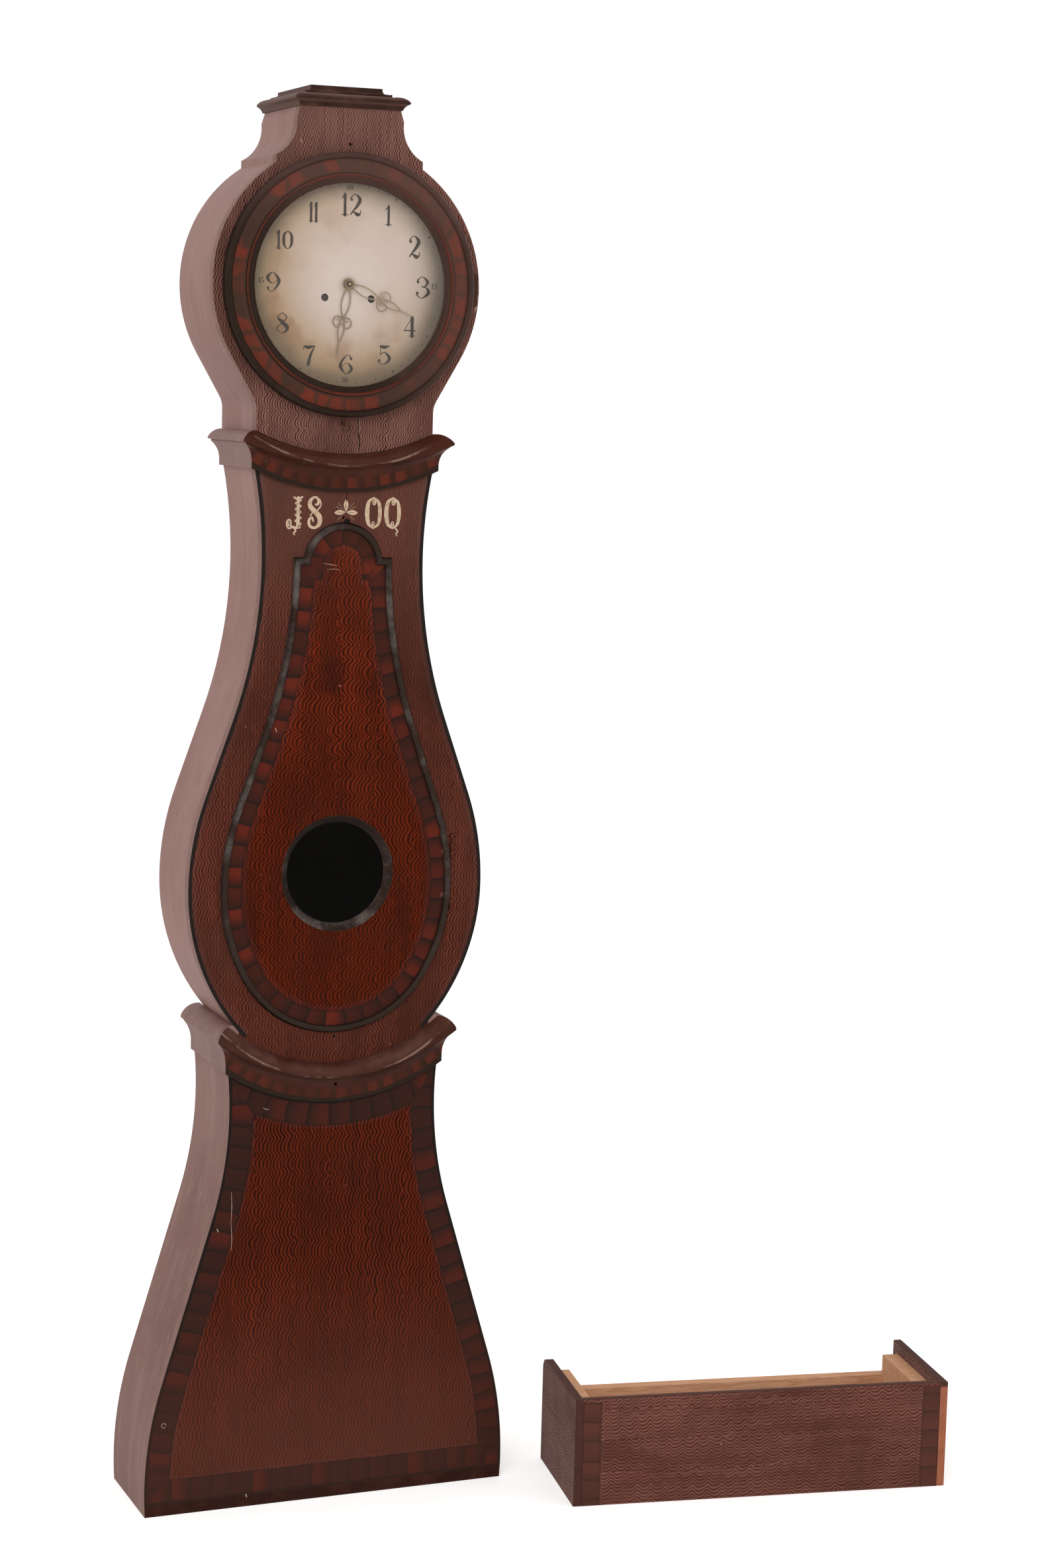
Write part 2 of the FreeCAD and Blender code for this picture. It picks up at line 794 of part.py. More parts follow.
def side_mouldings(label, half, inner, lip, bottom, top, depth):
    """The two straight returns of a moulding, from the mitre to the back of the case."""
    run = moulding_run(lip, bottom, top)
    outer = Run((inner - half, bottom))
    for part in run.parts[:-2]:
        outer.line(part[0])
        if len(part) > 2:
            outer.bend(*part[1:])
    outer.line(run.parts[-2][0]).bend(run.parts[-2][1], (inner - half, top))
    outer.line((inner - half, bottom))
    face = Part.Face(outer.wire(lambda out, z: Vector(half + out, front_y - lip, z)))
    bar = face.extrude(Vector(0, lip + depth, 0))
    corner = [(inner - lip, 0.0), (half, 0.0), (half + 2 * lip, -2 * lip), (inner - lip, -2 * lip)]
    points = [Vector(x, front_y + y, bottom - lip) for x, y in corner]
    wedge = Part.Face(Part.makePolygon(points + points[:1])).extrude(Vector(0, 0, top - bottom + 2 * lip))
    trunk = Run((0.0, v.base_height)).add(trunk_run(0.0)).line((0.0, v.trunk_top)).line((0.0, v.base_height))
    right = bar.cut([wedge, raised(Part.Face(trunk.wire(front_point)), depth)])
    left = right.mirror(Vector(), Vector(1, 0, 0))
    return shape_node(label, Part.makeCompound([right, left]))


def make_mouldings():
    upper_top = (v.trunk_top - v.hood_seam_sag, v.trunk_top)
    front_moulding("upper_moulding_front", v.trunk_top_half, v.upper_lip,
                   (v.upper_middle_bottom, upper_top[0]), (v.upper_end_bottom, upper_top[1]))
    side_mouldings("upper_moulding_returns", v.trunk_top_half, v.trunk_top_half, v.upper_lip,
                   v.upper_end_bottom, v.trunk_top, v.trunk_depth)
    base_half = base_run(0.0).here[0]
    front_moulding("lower_moulding_front", base_half, v.lower_lip,
                   (v.lower_middle_bottom, v.lower_middle_top), (v.base_height, v.lower_end_top),
                   v.moulding_hole_height)
    side_mouldings("lower_moulding_returns", base_half, v.trunk_foot_half, v.lower_lip,
                   v.base_height, v.lower_end_top, v.base_depth)


def hinge_recess(label, start, leaf_depth, height, length, leaf):
    """The shallow bed that one leaf of a hinge needs in a board."""
    clear = "hinge_clearance"
    low = "%s - %s / 2 - %s" % (height, length, clear)
    return box(label, start, "%s - %s" % (leaf_depth, clear), low,
               "%s + %s" % (leaf, clear), "hinge_leaf_thick + 2 * %s" % clear,
               "%s + 2 * %s" % (length, clear))


def knuckle_groove(label, half, depth, height, length):
    """The groove that a hinge's knuckles need between two boards."""
    wide = "(hinge_radius + hinge_clearance)"
    low = "%s - %s / 2 - hinge_clearance" % (height, length)
    return box(label, "%s - %s" % (half, wide), "%s - %s" % (depth, wide), low,
               "2 * " + wide, "2 * " + wide, "%s + 2 * hinge_clearance" % length)


def make_hinge(name, half, depth, leaf_depth, height, length, leaf):
    """A butt hinge: the fixed plate holds the pin and two knuckles, the moving leaf the middle one."""
    clear = "hinge_clearance"
    third = "(%s / 3)" % length
    low = "(%s - %s / 2)" % (height, length)
    reach = "hinge_radius + 2 * %s" % clear
    short = "%s - %s" % (third, clear)
    upper = "%s + 2 * %s + %s" % (low, third, clear)

    def knuckle(label, start, high):
        return rod(label, half, depth, start, "hinge_radius", high, "Z")

    def web(label, x, start, high):
        return box(label, x, leaf_depth, start, reach, "hinge_leaf_thick", high)

    bore = rod(name + "_leaf_bore", half, depth, low, "hinge_pin_radius + pin_clearance", length, "Z")
    middle = knuckle(name + "_leaf_knuckle", "%s + %s" % (low, third), third)
    middle_web = web(name + "_leaf_web", "%s - (%s)" % (half, reach), "%s + %s" % (low, third), third)
    wing = box(name + "_leaf_wing", "%s - %s" % (half, leaf), leaf_depth, low,
               "%s - hinge_radius - %s" % (leaf, clear), "hinge_leaf_thick", length)
    blank = fuse(name + "_leaf_blank", [middle, middle_web, wing])
    moving = cut(name + "_leaf", blank, [bore])
    pieces = [rod(name + "_pin", half, depth, low, "hinge_pin_radius", length, "Z")]
    for end, start in (("low", low), ("high", upper)):
        pieces.append(knuckle("%s_plate_%s" % (name, end), start, short))
        pieces.append(web("%s_plate_web_%s" % (name, end), half, start, short))
    pieces.append(box(name + "_plate_wing", "%s + hinge_radius + %s" % (half, clear), leaf_depth, low,
                      "%s - hinge_radius - %s" % (leaf, clear), "hinge_leaf_thick", length))
    return moving, fuse(name + "_plate", pieces)


DOOR_HINGE = ("door_hinge_half", "0", "0", "door_hinge_height", "door_hinge_length", "door_hinge_leaf")
BEZEL_HINGE = ("bezel_hinge_half", "-bezel_hinge_forward", "-hinge_leaf_thick", "head_height",
               "bezel_hinge_length", "bezel_hinge_leaf")


def make_trunk_door():
    """The lyre-shaped door with its bead, round window and hinge."""
    outline = closed(door_run(0.0))
    hole = circle_at(0, v.window_height, v.window_ring_outer)
    blank = board("trunk_door_blank", outline.curves() + [hole], "0", "board_thick")
    half, depth, leaf_depth, height, length, leaf = DOOR_HINGE
    cuts = [knuckle_groove("door_knuckle_groove", half, depth, height, length),
            hinge_recess("door_leaf_bed", "%s - %s - hinge_clearance" % (half, leaf),
                         leaf_depth, height, length, leaf)]
    node(cut("trunk_door", blank, cuts), "trunk_door")
    outer = Part.Face(closed(door_run(0.0)).wire(lambda x, z: front_point(x, z, -v.bead_height)))
    inner = Part.Face(closed(door_run(v.bead_width)).wire(lambda x, z: front_point(x, z, -v.bead_height)))
    bead = outer.cut(inner).extrude(Vector(0, v.bead_height, 0))
    crest = [edge for edge in bead.Edges if edge.BoundBox.YMax < front_y - v.bead_height + v.hand_thick]
    bead = bead.makeFillet(v.bead_round, crest)
    reach = v.hinge_radius + v.hinge_clearance
    gap = Part.makeBox(v.door_hinge_leaf + reach, 2 * reach + v.bead_height,
                       v.door_hinge_length + 2 * v.hinge_clearance,
                       Vector(v.door_hinge_half - reach, front_y - reach - v.bead_height,
                              v.door_hinge_height - v.door_hinge_length / 2 - v.hinge_clearance))
    shape_node("trunk_door_bead", bead.cut(gap))
    outer, inner, depth_in = v.window_ring_outer, v.window_ring_inner, v.window_ring_depth
    lip = v.hand_thick
    ring = Run((outer, -lip)).line((outer, depth_in)).line((inner, depth_in))
    ring.line((inner, depth_in - v.window_glass_thick)).line((outer - 2 * lip, -lip)).line((outer, -lip))
    node(turned("window_ring", ring, "Y", z="window_height"), "window_ring")
    node(rod("window_glass", "0", "window_ring_depth", "window_height", "window_ring_outer",
             "window_glass_thick"), "window_glass")
    leaf_piece, plate_piece = make_hinge("door_hinge", *DOOR_HINGE)
    node(leaf_piece, "door_hinge_leaf")
    node(plate_piece, "door_hinge_plate")


def make_hood():
    """The hood that slides over the movement: front board, bent sides, shoulders and stepped cap."""
    gap = v.hood_seam_gap
    side = hood_run(0.0)
    foot = seam(v.hood_foot_half, v.trunk_top + gap, v.hood_seam_sag)
    outline = Run(foot.here).add(foot.back()).add(side)
    outline.add(shoulder_run())
    outline.line((-v.neck_top_half, v.hood_top)).add(shoulder_run().mirror()).add(side.mirror())
    outline.line(foot.here)
    holes = [circle_at(0, v.head_height, v.hood_opening_radius),
             circle_at(0, v.neck_hole_height, v.nail_hole_radius)]
    blank = board("hood_front_blank", outline.curves() + holes, "0", "board_thick")
    half, axis_depth, leaf_depth, height, length, leaf = BEZEL_HINGE
    groove = knuckle_groove("bezel_knuckle_groove", half, axis_depth, height, length)
    node(cut("hood_front_board", blank, [groove]), "hood_front_board")
    inner = hood_run(v.hood_side_thick)
    strip = Run(side.parts[0][0]).add(side).add(inner.back()).line(side.parts[0][0])
    depth = "hood_depth - board_thick"
    right = board("hood_side_right", strip.curves(), "board_thick", depth)
    node(group("hood_sides", [right, mirrored("hood_side_left", right)]), "hood_sides")
    thick = v.hood_side_thick
    radius = v.head_radius - thick
    neck = v.neck_top_half - thick
    shoulder = shoulder_run().line((neck, v.hood_top))
    shoulder.line((neck, v.head_height + math.sqrt(radius**2 - neck**2)))
    shoulder.around((0.0, v.head_height), radius, inner.here)
    shoulder.line(shoulder.parts[0][0])
    right = board("hood_shoulder_right", shoulder.curves(), "board_thick", depth)
    node(group("hood_shoulders", [right, mirrored("hood_shoulder_left", right)]), "hood_shoulders")
    make_cap()


def cap_solid(edge, low, high):
    """A moulding on three sides: its edge run front and sides, flush at the back."""
    back = v.hood_depth + v.cap_back_overhang
    both = closed(Run((0.0, low)).add(edge).line((0.0, high)))
    wide = Part.Face(both.wire(lambda x, z: Vector(x, front_y + back, z))).extrude(Vector(0, -2 * back, 0))
    across = Run((0.0, low)).add(edge).line((0.0, high)).line((0.0, low))
    reach = v.neck_top_half
    deep = Part.Face(across.wire(lambda x, z: Vector(-2 * back, front_y + reach - x, z)))
    rear = Part.makeBox(4 * back, back - reach, high - low, Vector(-2 * back, front_y + reach, low))
    return wide.common(deep.extrude(Vector(4 * back, 0, 0)).fuse(rear)).removeSplitter()


def make_cap():
    """The cap: a coved and rounded lip, and a stepped top above it."""
    bottom, lip = v.hood_top, v.cap_lip_height
    thin = v.cap_step_rise / 2
    edge = Run((v.neck_top_half, bottom)).line((v.neck_top_half + thin, bottom))
    edge.bend((v.neck_top_half + 2 * thin, lip - 2 * thin), (v.cap_lip_half - thin, lip - thin / 2))
    edge.line((v.cap_lip_half, lip)).line((v.cap_lip_half, lip + thin))
    edge.bend((v.cap_lip_half - 2 * thin, v.cap_step_height - thin), (v.cap_step_half, v.cap_step_height))
    shape_node("cap_moulding", cap_solid(edge, bottom, v.cap_step_height))
    low, high = v.cap_step_height, v.cap_top
    rise = v.cap_step_rise
    step = Run((v.cap_step_half, low)).line((v.cap_step_half, low + rise))
    step.line((v.cap_step_half - thin, low + rise))
    step.bend((v.cap_top_half + thin, low + rise + thin / 2), (v.cap_top_half, high - thin))
    step.line((v.cap_top_half, high))
    shape_node("cap_steps", cap_solid(step, low, high))


def make_bezel():
    """The round glazed door of the dial, its hinge and the turn catch under it."""
    outer, bead, band, inner = v.bezel_outer, v.bezel_bead_inner, v.bezel_band_inner, v.bezel_inner
    depth, step, glass = v.bezel_depth, v.bezel_back_step, v.bezel_glass_back
    rest = glass + v.bezel_glass_thick
    low = depth - (outer - bead) / 2
    crest = (outer + bead) / 2
    ring = Run((outer, 0.0)).line((outer, -low)).bend((crest, -depth), (bead, -low))
    ring.bend(((bead + band) / 2, -low - v.bezel_glass_thick), (band, -low))
    ring.bend((band - step / 2, -low - step / 2), (band - step, -low))
    ring.line((band - step, -low + step / 2)).line((band - 2 * step, -low + step / 2))
    ring.line((band - 2 * step, -rest - step))
    ring.bend((band - 3 * step, -rest - step / 2), (inner, -rest - step / 2))
    ring.line((inner, -rest)).line((v.bezel_glass_radius, -rest)).line((v.bezel_glass_radius, -step))
    ring.line((band, -step)).line((band, 0.0)).line((outer, 0.0))
    blank = turned("bezel_ring_blank", ring, "Y", z="head_height")
    half, axis_depth, leaf_depth, height, length, leaf = BEZEL_HINGE
    bed = hinge_recess("bezel_leaf_bed", "%s - %s - hinge_clearance" % (half, leaf),
                       leaf_depth, height, length, leaf)
    node(cut("bezel_ring", blank, [bed]), "bezel_ring")
    node(rod("bezel_glass", "0", "-bezel_glass_back - bezel_glass_thick", "head_height",
             "bezel_glass_radius", "bezel_glass_thick"), "bezel_glass")
    leaf_piece, plate_piece = make_hinge("bezel_hinge", *BEZEL_HINGE)
    node(leaf_piece, "bezel_hinge_leaf")
    node(plate_piece, "bezel_hinge_plate")
    pin = rod("catch_pin", "-catch_side", "-bezel_depth - hand_nut_thick", "catch_height",
              "catch_pin_radius", "bezel_depth + hand_nut_thick")
    head = doc.addObject("Part::Sphere", "catch_head")
    bind(head, Radius="catch_knob_radius")
    place(head, "-catch_side", "-bezel_depth - hand_nut_thick - catch_finger_thick / 2", "catch_height")
    finger = doc.addObject("Part::Box", "catch_finger")
    bind(finger, Length="2 * catch_pin_radius", Width="catch_finger_thick", Height="catch_finger_length")
    finger.Placement = Placement(Vector(), Rotation(Vector(0, 1, 0), v.catch_finger_turn))
    place(finger, "-catch_side + catch_pin_radius", "-bezel_depth - hand_nut_thick - catch_finger_thick",
          "catch_height")
    node(fuse("bezel_catch", [pin, head, finger]), "bezel_catch")


def strip_arc(points, width):
    """A narrow flat bar bent through three points, seen from the front, laid on the dial's plane."""
    ends = [Vector(x, 0, z) for x, z in points]
    edge = Part.Arc(*ends).toShape()
    centre, radius = edge.Curve.Center, edge.Curve.Radius
    rails = []
    for offset in (-width / 2, width / 2):
        rails.append([centre + (end - centre) * ((radius + offset) / radius) for end in ends])
    inner, outer = rails
    wire = Part.Wire([Part.Arc(*inner).toShape(), Part.makeLine(inner[2], outer[2]),
                      Part.Arc(*outer[::-1]).toShape(), Part.makeLine(outer[0], inner[0])])
    return Part.Face(wire)


def hand_shape(length, bore, degrees):
    """A pierced hand: boss, lyre-shaped stem, knot with scrolls, fork and long point."""
    at = {name: share * length for name, share in HAND_SHARES.items()}
    width = v.hand_bar_width
    boss = at["boss"] + bore / 2
    spread = at["boss"]
    faces = []
    for side in (1, -1):
        faces.append(strip_arc([(side * spread * 0.4, boss), (side * spread * 1.1, at["lyre"] * 1.8),
                                (side * width * 0.4, at["knot"])], width))
        faces.append(strip_arc([(side * width, at["knot"] + width), (side * spread * 2.4, at["scroll"]),
                                (side * spread * 1.2, at["fork"] - width)], width))
        faces.append(strip_arc([(side * spread * 1.2, at["fork"] - width),
                                (side * spread * 0.6, at["scroll"]),
                                (side * spread * 1.5, at["scroll"] - width)], width * 0.8))
        faces.append(strip_arc([(side * width * 0.4, at["knot"]), (side * spread * 0.8, at["fork"]),
                                (side * width * 0.2, at["join"])], width))
    middle = Vector(0, 0, at["knot"] + width)
    knot = Part.Face(Part.Wire(Part.makeCircle(1.6 * width, middle, Vector(0, 1, 0))))
    neck = [Vector(x, 0, z) for x, z in ((-width / 2, at["join"] - width), (width / 2, at["join"] - width),
                                        (width / 4, length), (-width / 4, length))]
    point = Part.Face(Part.makePolygon(neck + neck[:1]))
    ring = Part.Face(Part.Wire(Part.makeCircle(boss, Vector(), Vector(0, 1, 0))))
    solids = [face.extrude(Vector(0, v.hand_thick, 0)) for face in faces + [knot, point, ring]]
    solids = [solid if solid.Volume > 0 else solid.reversed() for solid in solids]
    whole = solids[0].multiFuse(solids[1:]).removeSplitter()
    whole = whole.cut(Part.makeCylinder(bore, 3 * v.hand_thick, Vector(0, -v.hand_thick, 0), Vector(0, 1, 0)))
    whole.rotate(Vector(), Vector(0, 1, 0), degrees)
    return whole


def joined(solids):
    return solids[0].multiFuse(solids[1:]).removeSplitter()


def polygon(points):
    ends = [Vector(x, 0, z) for x, z in points]
    return Part.Face(Part.makePolygon(ends + ends[:1]))


def disc(radius):
    return Part.Face(Part.Wire(Part.makeCircle(radius, Vector(), Vector(0, 1, 0))))


def spindle(centre, start, end, radius):
    """A round shaft or hole through the movement, between two depths."""
    return Part.makeCylinder(radius, end - start, front_point(*centre, start), Vector(0, 1, 0))


def gear_face(teeth, module, shares, degrees):
    """A gear's outline with the middle of one tooth at an angle seen from the front."""
    pitch = 360 / teeth
    radius = module * teeth / 2
    rings = (radius - v.root_depth * module, radius, radius + v.tip_height * module)
    flank = [(ring, share * pitch / 2) for ring, share in zip(rings, shares)]
    points = []
    for tooth in range(teeth):
        middle = degrees + tooth * pitch
        points += [on_circle((0.0, 0.0), ring, middle - half) for ring, half in flank]
        points += [on_circle((0.0, 0.0), ring, middle + half) for ring, half in flank[::-1]]
    return polygon(points)


def crossed(face, rim):
    """A wheel's face with the metal between its rim and hub cut away to leave four spokes."""
    windows = disc(rim).cut(disc(v.hub_radius))
    half = v.spoke_width / 2
    for long, wide in ((rim, half), (half, rim)):
        windows = windows.cut(polygon([(-long, -wide), (long, -wide), (long, wide), (-long, wide)]))
    return face.cut(windows)


def wheel(centre, teeth, module, depth, towards, bore=0.0):
    """A crossed wheel with one tooth pointing at the centre that it drives."""
    face = gear_face(teeth, module, WHEEL_TOOTH_SHARES, towards)
    face = crossed(face, module * teeth / 2 - v.root_depth * module - v.rim_width)
    if bore:
        face = face.cut(disc(bore))
    solid = raised(face, v.wheel_thick)
    solid.translate(front_point(*centre, depth))
    return solid


def pinion(centre, leaves, module, start, length, towards):
    """A pinion with one gap facing the wheel that drives it."""
    solid = raised(gear_face(leaves, module, LEAF_TOOTH_SHARES, towards + 180 / leaves), length)
    solid.translate(front_point(*centre, start))
    return solid


def driven_pinion(centre, module, wheel_depth, towards):
    """A pinion set evenly about the thickness of the wheel that drives it."""
    start = wheel_depth + v.wheel_thick / 2 - v.pinion_length / 2
    return pinion(centre, int(v.pinion_leaves), module, start, v.pinion_length, towards)


def arbor(centre):
    """A shaft between the plates, with a thinner pivot at each end."""
    inside = v.front_plate_depth + v.plate_thick
    outside = inside + v.plate_space
    return [spindle(centre, v.front_plate_depth, outside + v.plate_thick, v.pivot_radius),
            spindle(centre, inside + v.arbor_shake, outside - v.arbor_shake, v.arbor_radius)]


def beyond(centre, distance, degrees):
    return on_circle(centre, distance, degrees)


# Centres of the train, seen from the front
CENTRE = (0.0, v.centre_height)
GOING = (v.winding_half, v.centre_height - v.winding_drop)
STRIKE = (-v.winding_half, v.centre_height - v.winding_drop)
GREAT_MODULE = 2 * math.dist(CENTRE, GOING) / (v.great_teeth + v.pinion_leaves)
THIRD = beyond(CENTRE, v.centre_module * (v.centre_teeth + v.pinion_leaves) / 2, v.third_angle)
ESCAPE_REACH = v.third_module * (v.third_teeth + v.pinion_leaves) / 2
ESCAPE = (0.0, THIRD[1] + math.sqrt(ESCAPE_REACH**2 - THIRD[0] ** 2))
ANCHOR = (0.0, ESCAPE[1] + v.anchor_rise)
PIN = beyond(STRIKE, math.dist(CENTRE, GOING), v.pin_wheel_angle)
WARNING = beyond(PIN, v.centre_module * (v.pin_wheel_teeth + v.pinion_leaves) / 2, v.warning_angle)
FLY = beyond(WARNING, v.third_module * (v.warning_teeth + v.pinion_leaves) / 2, v.fly_angle)
MOTION = (0.0, v.centre_height - v.motion_spacing)
HAMMER = (-v.hammer_half, v.hammer_height)
CANNON_MODULE = 2 * v.motion_spacing / (v.cannon_teeth + v.minute_wheel_teeth)
HOUR_MODULE = 2 * v.motion_spacing / (v.minute_pinion_teeth + v.hour_wheel_teeth)


def make_dial():
    """The painted dial plate with its feet, and the two hands on their pipes."""
    curves = [circle_at(0, v.head_height, v.dial_radius),
              circle_at(*CENTRE, v.centre_hole_radius)]
    curves += [circle_at(*centre, v.winding_hole_radius) for centre in (GOING, STRIKE)]
    plate = board("dial_sheet", curves, "-dial_face_forward", "dial_thick")
    feet = []
    for side in ("", "-"):
        for high in ("low", "high"):
            name = "dial_foot_%s_%s" % ("left" if side else "right", high)
            feet.append(rod(name, side + "dial_foot_half", "dial_thick - dial_face_forward",
                            "dial_foot_" + high, "dial_foot_radius",
                            "front_plate_depth - dial_thick + dial_face_forward"))
    node(fuse("dial_plate", [plate] + feet), "dial_plate")
    hour = hand_shape(v.hour_hand_length, v.hour_pipe_radius, v.hour_hand_turn)
    hour.translate(front_point(*CENTRE, -v.hour_hand_forward - v.hand_thick))
    shape_node("hour_hand", hour)
    pipe_start = -v.minute_hand_forward - v.hand_thick
    bore = v.centre_arbor_radius
    minute = hand_shape(v.minute_hand_length, bore, v.minute_hand_turn)
    minute.translate(front_point(*CENTRE, pipe_start))
    nut_start = pipe_start - v.hand_nut_thick
    end = v.cannon_depth + v.pinion_length
    solids = [minute, spindle(CENTRE, nut_start, pipe_start, v.hand_nut_radius),
              spindle(CENTRE, pipe_start + v.hand_thick, end, v.cannon_pipe_radius),
              pinion(CENTRE, int(v.cannon_teeth), CANNON_MODULE, v.cannon_depth, v.pinion_length, -90)]
    shape_node("minute_hand", joined(solids).cut(spindle(CENTRE, nut_start, end, bore)))
    hour_start = -v.hour_hand_forward - v.hand_thick
    wheel_end = v.hour_wheel_depth + v.wheel_thick
    inner = v.cannon_pipe_radius + v.running_clearance
    face = gear_face(int(v.hour_wheel_teeth), HOUR_MODULE, WHEEL_TOOTH_SHARES, -90)
    blank = raised(face, v.wheel_thick)
    blank.translate(front_point(*CENTRE, v.hour_wheel_depth))
    pipe = spindle(CENTRE, hour_start, wheel_end, v.hour_pipe_radius)
    shape_node("hour_wheel", blank.fuse(pipe).cut(spindle(CENTRE, hour_start, wheel_end, inner)))
    start = v.hour_wheel_depth - v.hand_thick
    teeth = int(v.minute_pinion_teeth)
    leaves = pinion(MOTION, teeth, HOUR_MODULE, start, v.minute_wheel_depth - start, 90)
    disc_part = wheel(MOTION, int(v.minute_wheel_teeth), CANNON_MODULE, v.minute_wheel_depth, 90)
    stud = v.pivot_radius + v.running_clearance
    hole = spindle(MOTION, start, v.minute_wheel_depth + v.wheel_thick, stud)
    shape_node("minute_wheel", disc_part.fuse(leaves).cut(hole))


def make_plates():
    """The two plates with their pillars, the pendulum's cock and the strap that holds the bell."""
    pivots = [THIRD, ESCAPE, PIN, WARNING, FLY, HAMMER]
    clear = v.running_clearance
    plates = []
    for depth in (v.front_plate_depth, v.front_plate_depth + v.plate_thick + v.plate_space):
        corner = front_point(-v.plate_half, v.plate_bottom, depth)
        plate = Part.makeBox(2 * v.plate_half, v.plate_thick, v.plate_top - v.plate_bottom, corner)
        end = depth + v.plate_thick
        plate = plate.cut([spindle(centre, depth, end, v.pivot_radius + clear) for centre in pivots])
        plate = plate.cut([spindle(centre, depth, end, v.barrel_arbor_radius + clear)
                           for centre in (GOING, STRIKE)])
        plates.append(plate)
    front, back = plates
    inside = v.front_plate_depth + v.plate_thick
    outside = inside + v.plate_space
    end = outside + v.plate_thick
    front = front.cut([spindle(CENTRE, v.front_plate_depth, inside, v.centre_arbor_radius + clear),
                       spindle(ANCHOR, v.front_plate_depth, inside, v.pivot_radius + clear)])
    stud = spindle(MOTION, v.hour_wheel_depth - v.hand_thick, inside, v.pivot_radius)
    shape_node("front_plate", front.fuse(stud).removeSplitter())
    back = back.cut([spindle(CENTRE, outside, end, v.pivot_radius + clear),
                     spindle(ANCHOR, outside, end, v.arbor_radius + clear)])
    solids = [back]
    reach = v.plate_half - v.pillar_inset
    for x in (-reach, reach):
        for z in (v.plate_bottom + v.pillar_inset, v.plate_top - v.pillar_inset):
            solids.append(spindle((x, z), inside, outside, v.pillar_radius))
    strap_top = v.plate_top - v.wheel_thick
    solids.append(Part.makeBox(2 * v.bell_strap_half, v.plate_space, v.plate_thick,
                               front_point(-v.bell_strap_half, strap_top - v.plate_thick, inside)))
    arm_low = ANCHOR[1] + v.cock_arm_rise
    foot = Part.makeBox(2 * v.cock_half, v.cock_thick, v.cock_arm_rise,
                        front_point(-v.cock_half, arm_low - v.cock_thick, end))
    arm = Part.makeBox(2 * v.cock_arm_half, v.cock_reach, v.cock_thick,
                       front_point(-v.cock_arm_half, arm_low, end))
    leg_start = v.crutch_depth + v.cock_leg_gap
    leg = Part.makeBox(2 * v.hub_radius, v.plate_thick, v.cock_arm_rise + v.hub_radius,
                       front_point(-v.hub_radius, arm_low - v.cock_arm_rise - v.hub_radius, leg_start))
    leg = leg.cut(spindle(ANCHOR, leg_start, leg_start + v.plate_thick, v.pivot_radius + clear))
    solids.append(joined([foot, arm, leg]))
    shape_node("back_plate", Part.makeCompound(solids))


def make_going_train():
    """The wheels from the going barrel to the escapement, each with a pinion on its shaft."""
    inside = v.front_plate_depth + v.plate_thick
    outside = inside + v.plate_space
    towards = bearing(CENTRE, THIRD)
    front_end = -v.minute_hand_forward - v.hand_thick - v.hand_nut_thick
    solids = [wheel(CENTRE, int(v.centre_teeth), v.centre_module, v.centre_wheel_depth, towards),
              driven_pinion(CENTRE, GREAT_MODULE, v.going_wheel_depth, bearing(CENTRE, GOING)),
              spindle(CENTRE, inside, outside + v.plate_thick, v.pivot_radius),
              spindle(CENTRE, inside, outside - v.arbor_shake, v.arbor_radius),
              spindle(CENTRE, front_end, inside, v.centre_arbor_radius)]
    shape_node("centre_wheel", joined(solids))
    solids = [wheel(THIRD, int(v.third_teeth), v.third_module, v.third_wheel_depth, bearing(THIRD, ESCAPE)),
              driven_pinion(THIRD, v.centre_module, v.centre_wheel_depth, bearing(THIRD, CENTRE))]
    shape_node("third_wheel", joined(solids + arbor(THIRD)))
    pitch = 360 / v.escape_teeth
    points = []
    for tooth in range(int(v.escape_teeth)):
        root = v.escape_radius - v.rim_width - v.wheel_thick
        points.append(on_circle((0.0, 0.0), root, tooth * pitch))
        points.append(on_circle((0.0, 0.0), v.escape_radius, tooth * pitch))
    face = crossed(polygon(points), v.escape_radius - 2 * v.rim_width - v.wheel_thick)
    escape = raised(face, v.wheel_thick)
    escape.translate(front_point(*ESCAPE, v.escape_wheel_depth))
    solids = [escape, driven_pinion(ESCAPE, v.third_module, v.third_wheel_depth, bearing(ESCAPE, THIRD))]
    shape_node("escape_wheel", joined(solids + arbor(ESCAPE)))


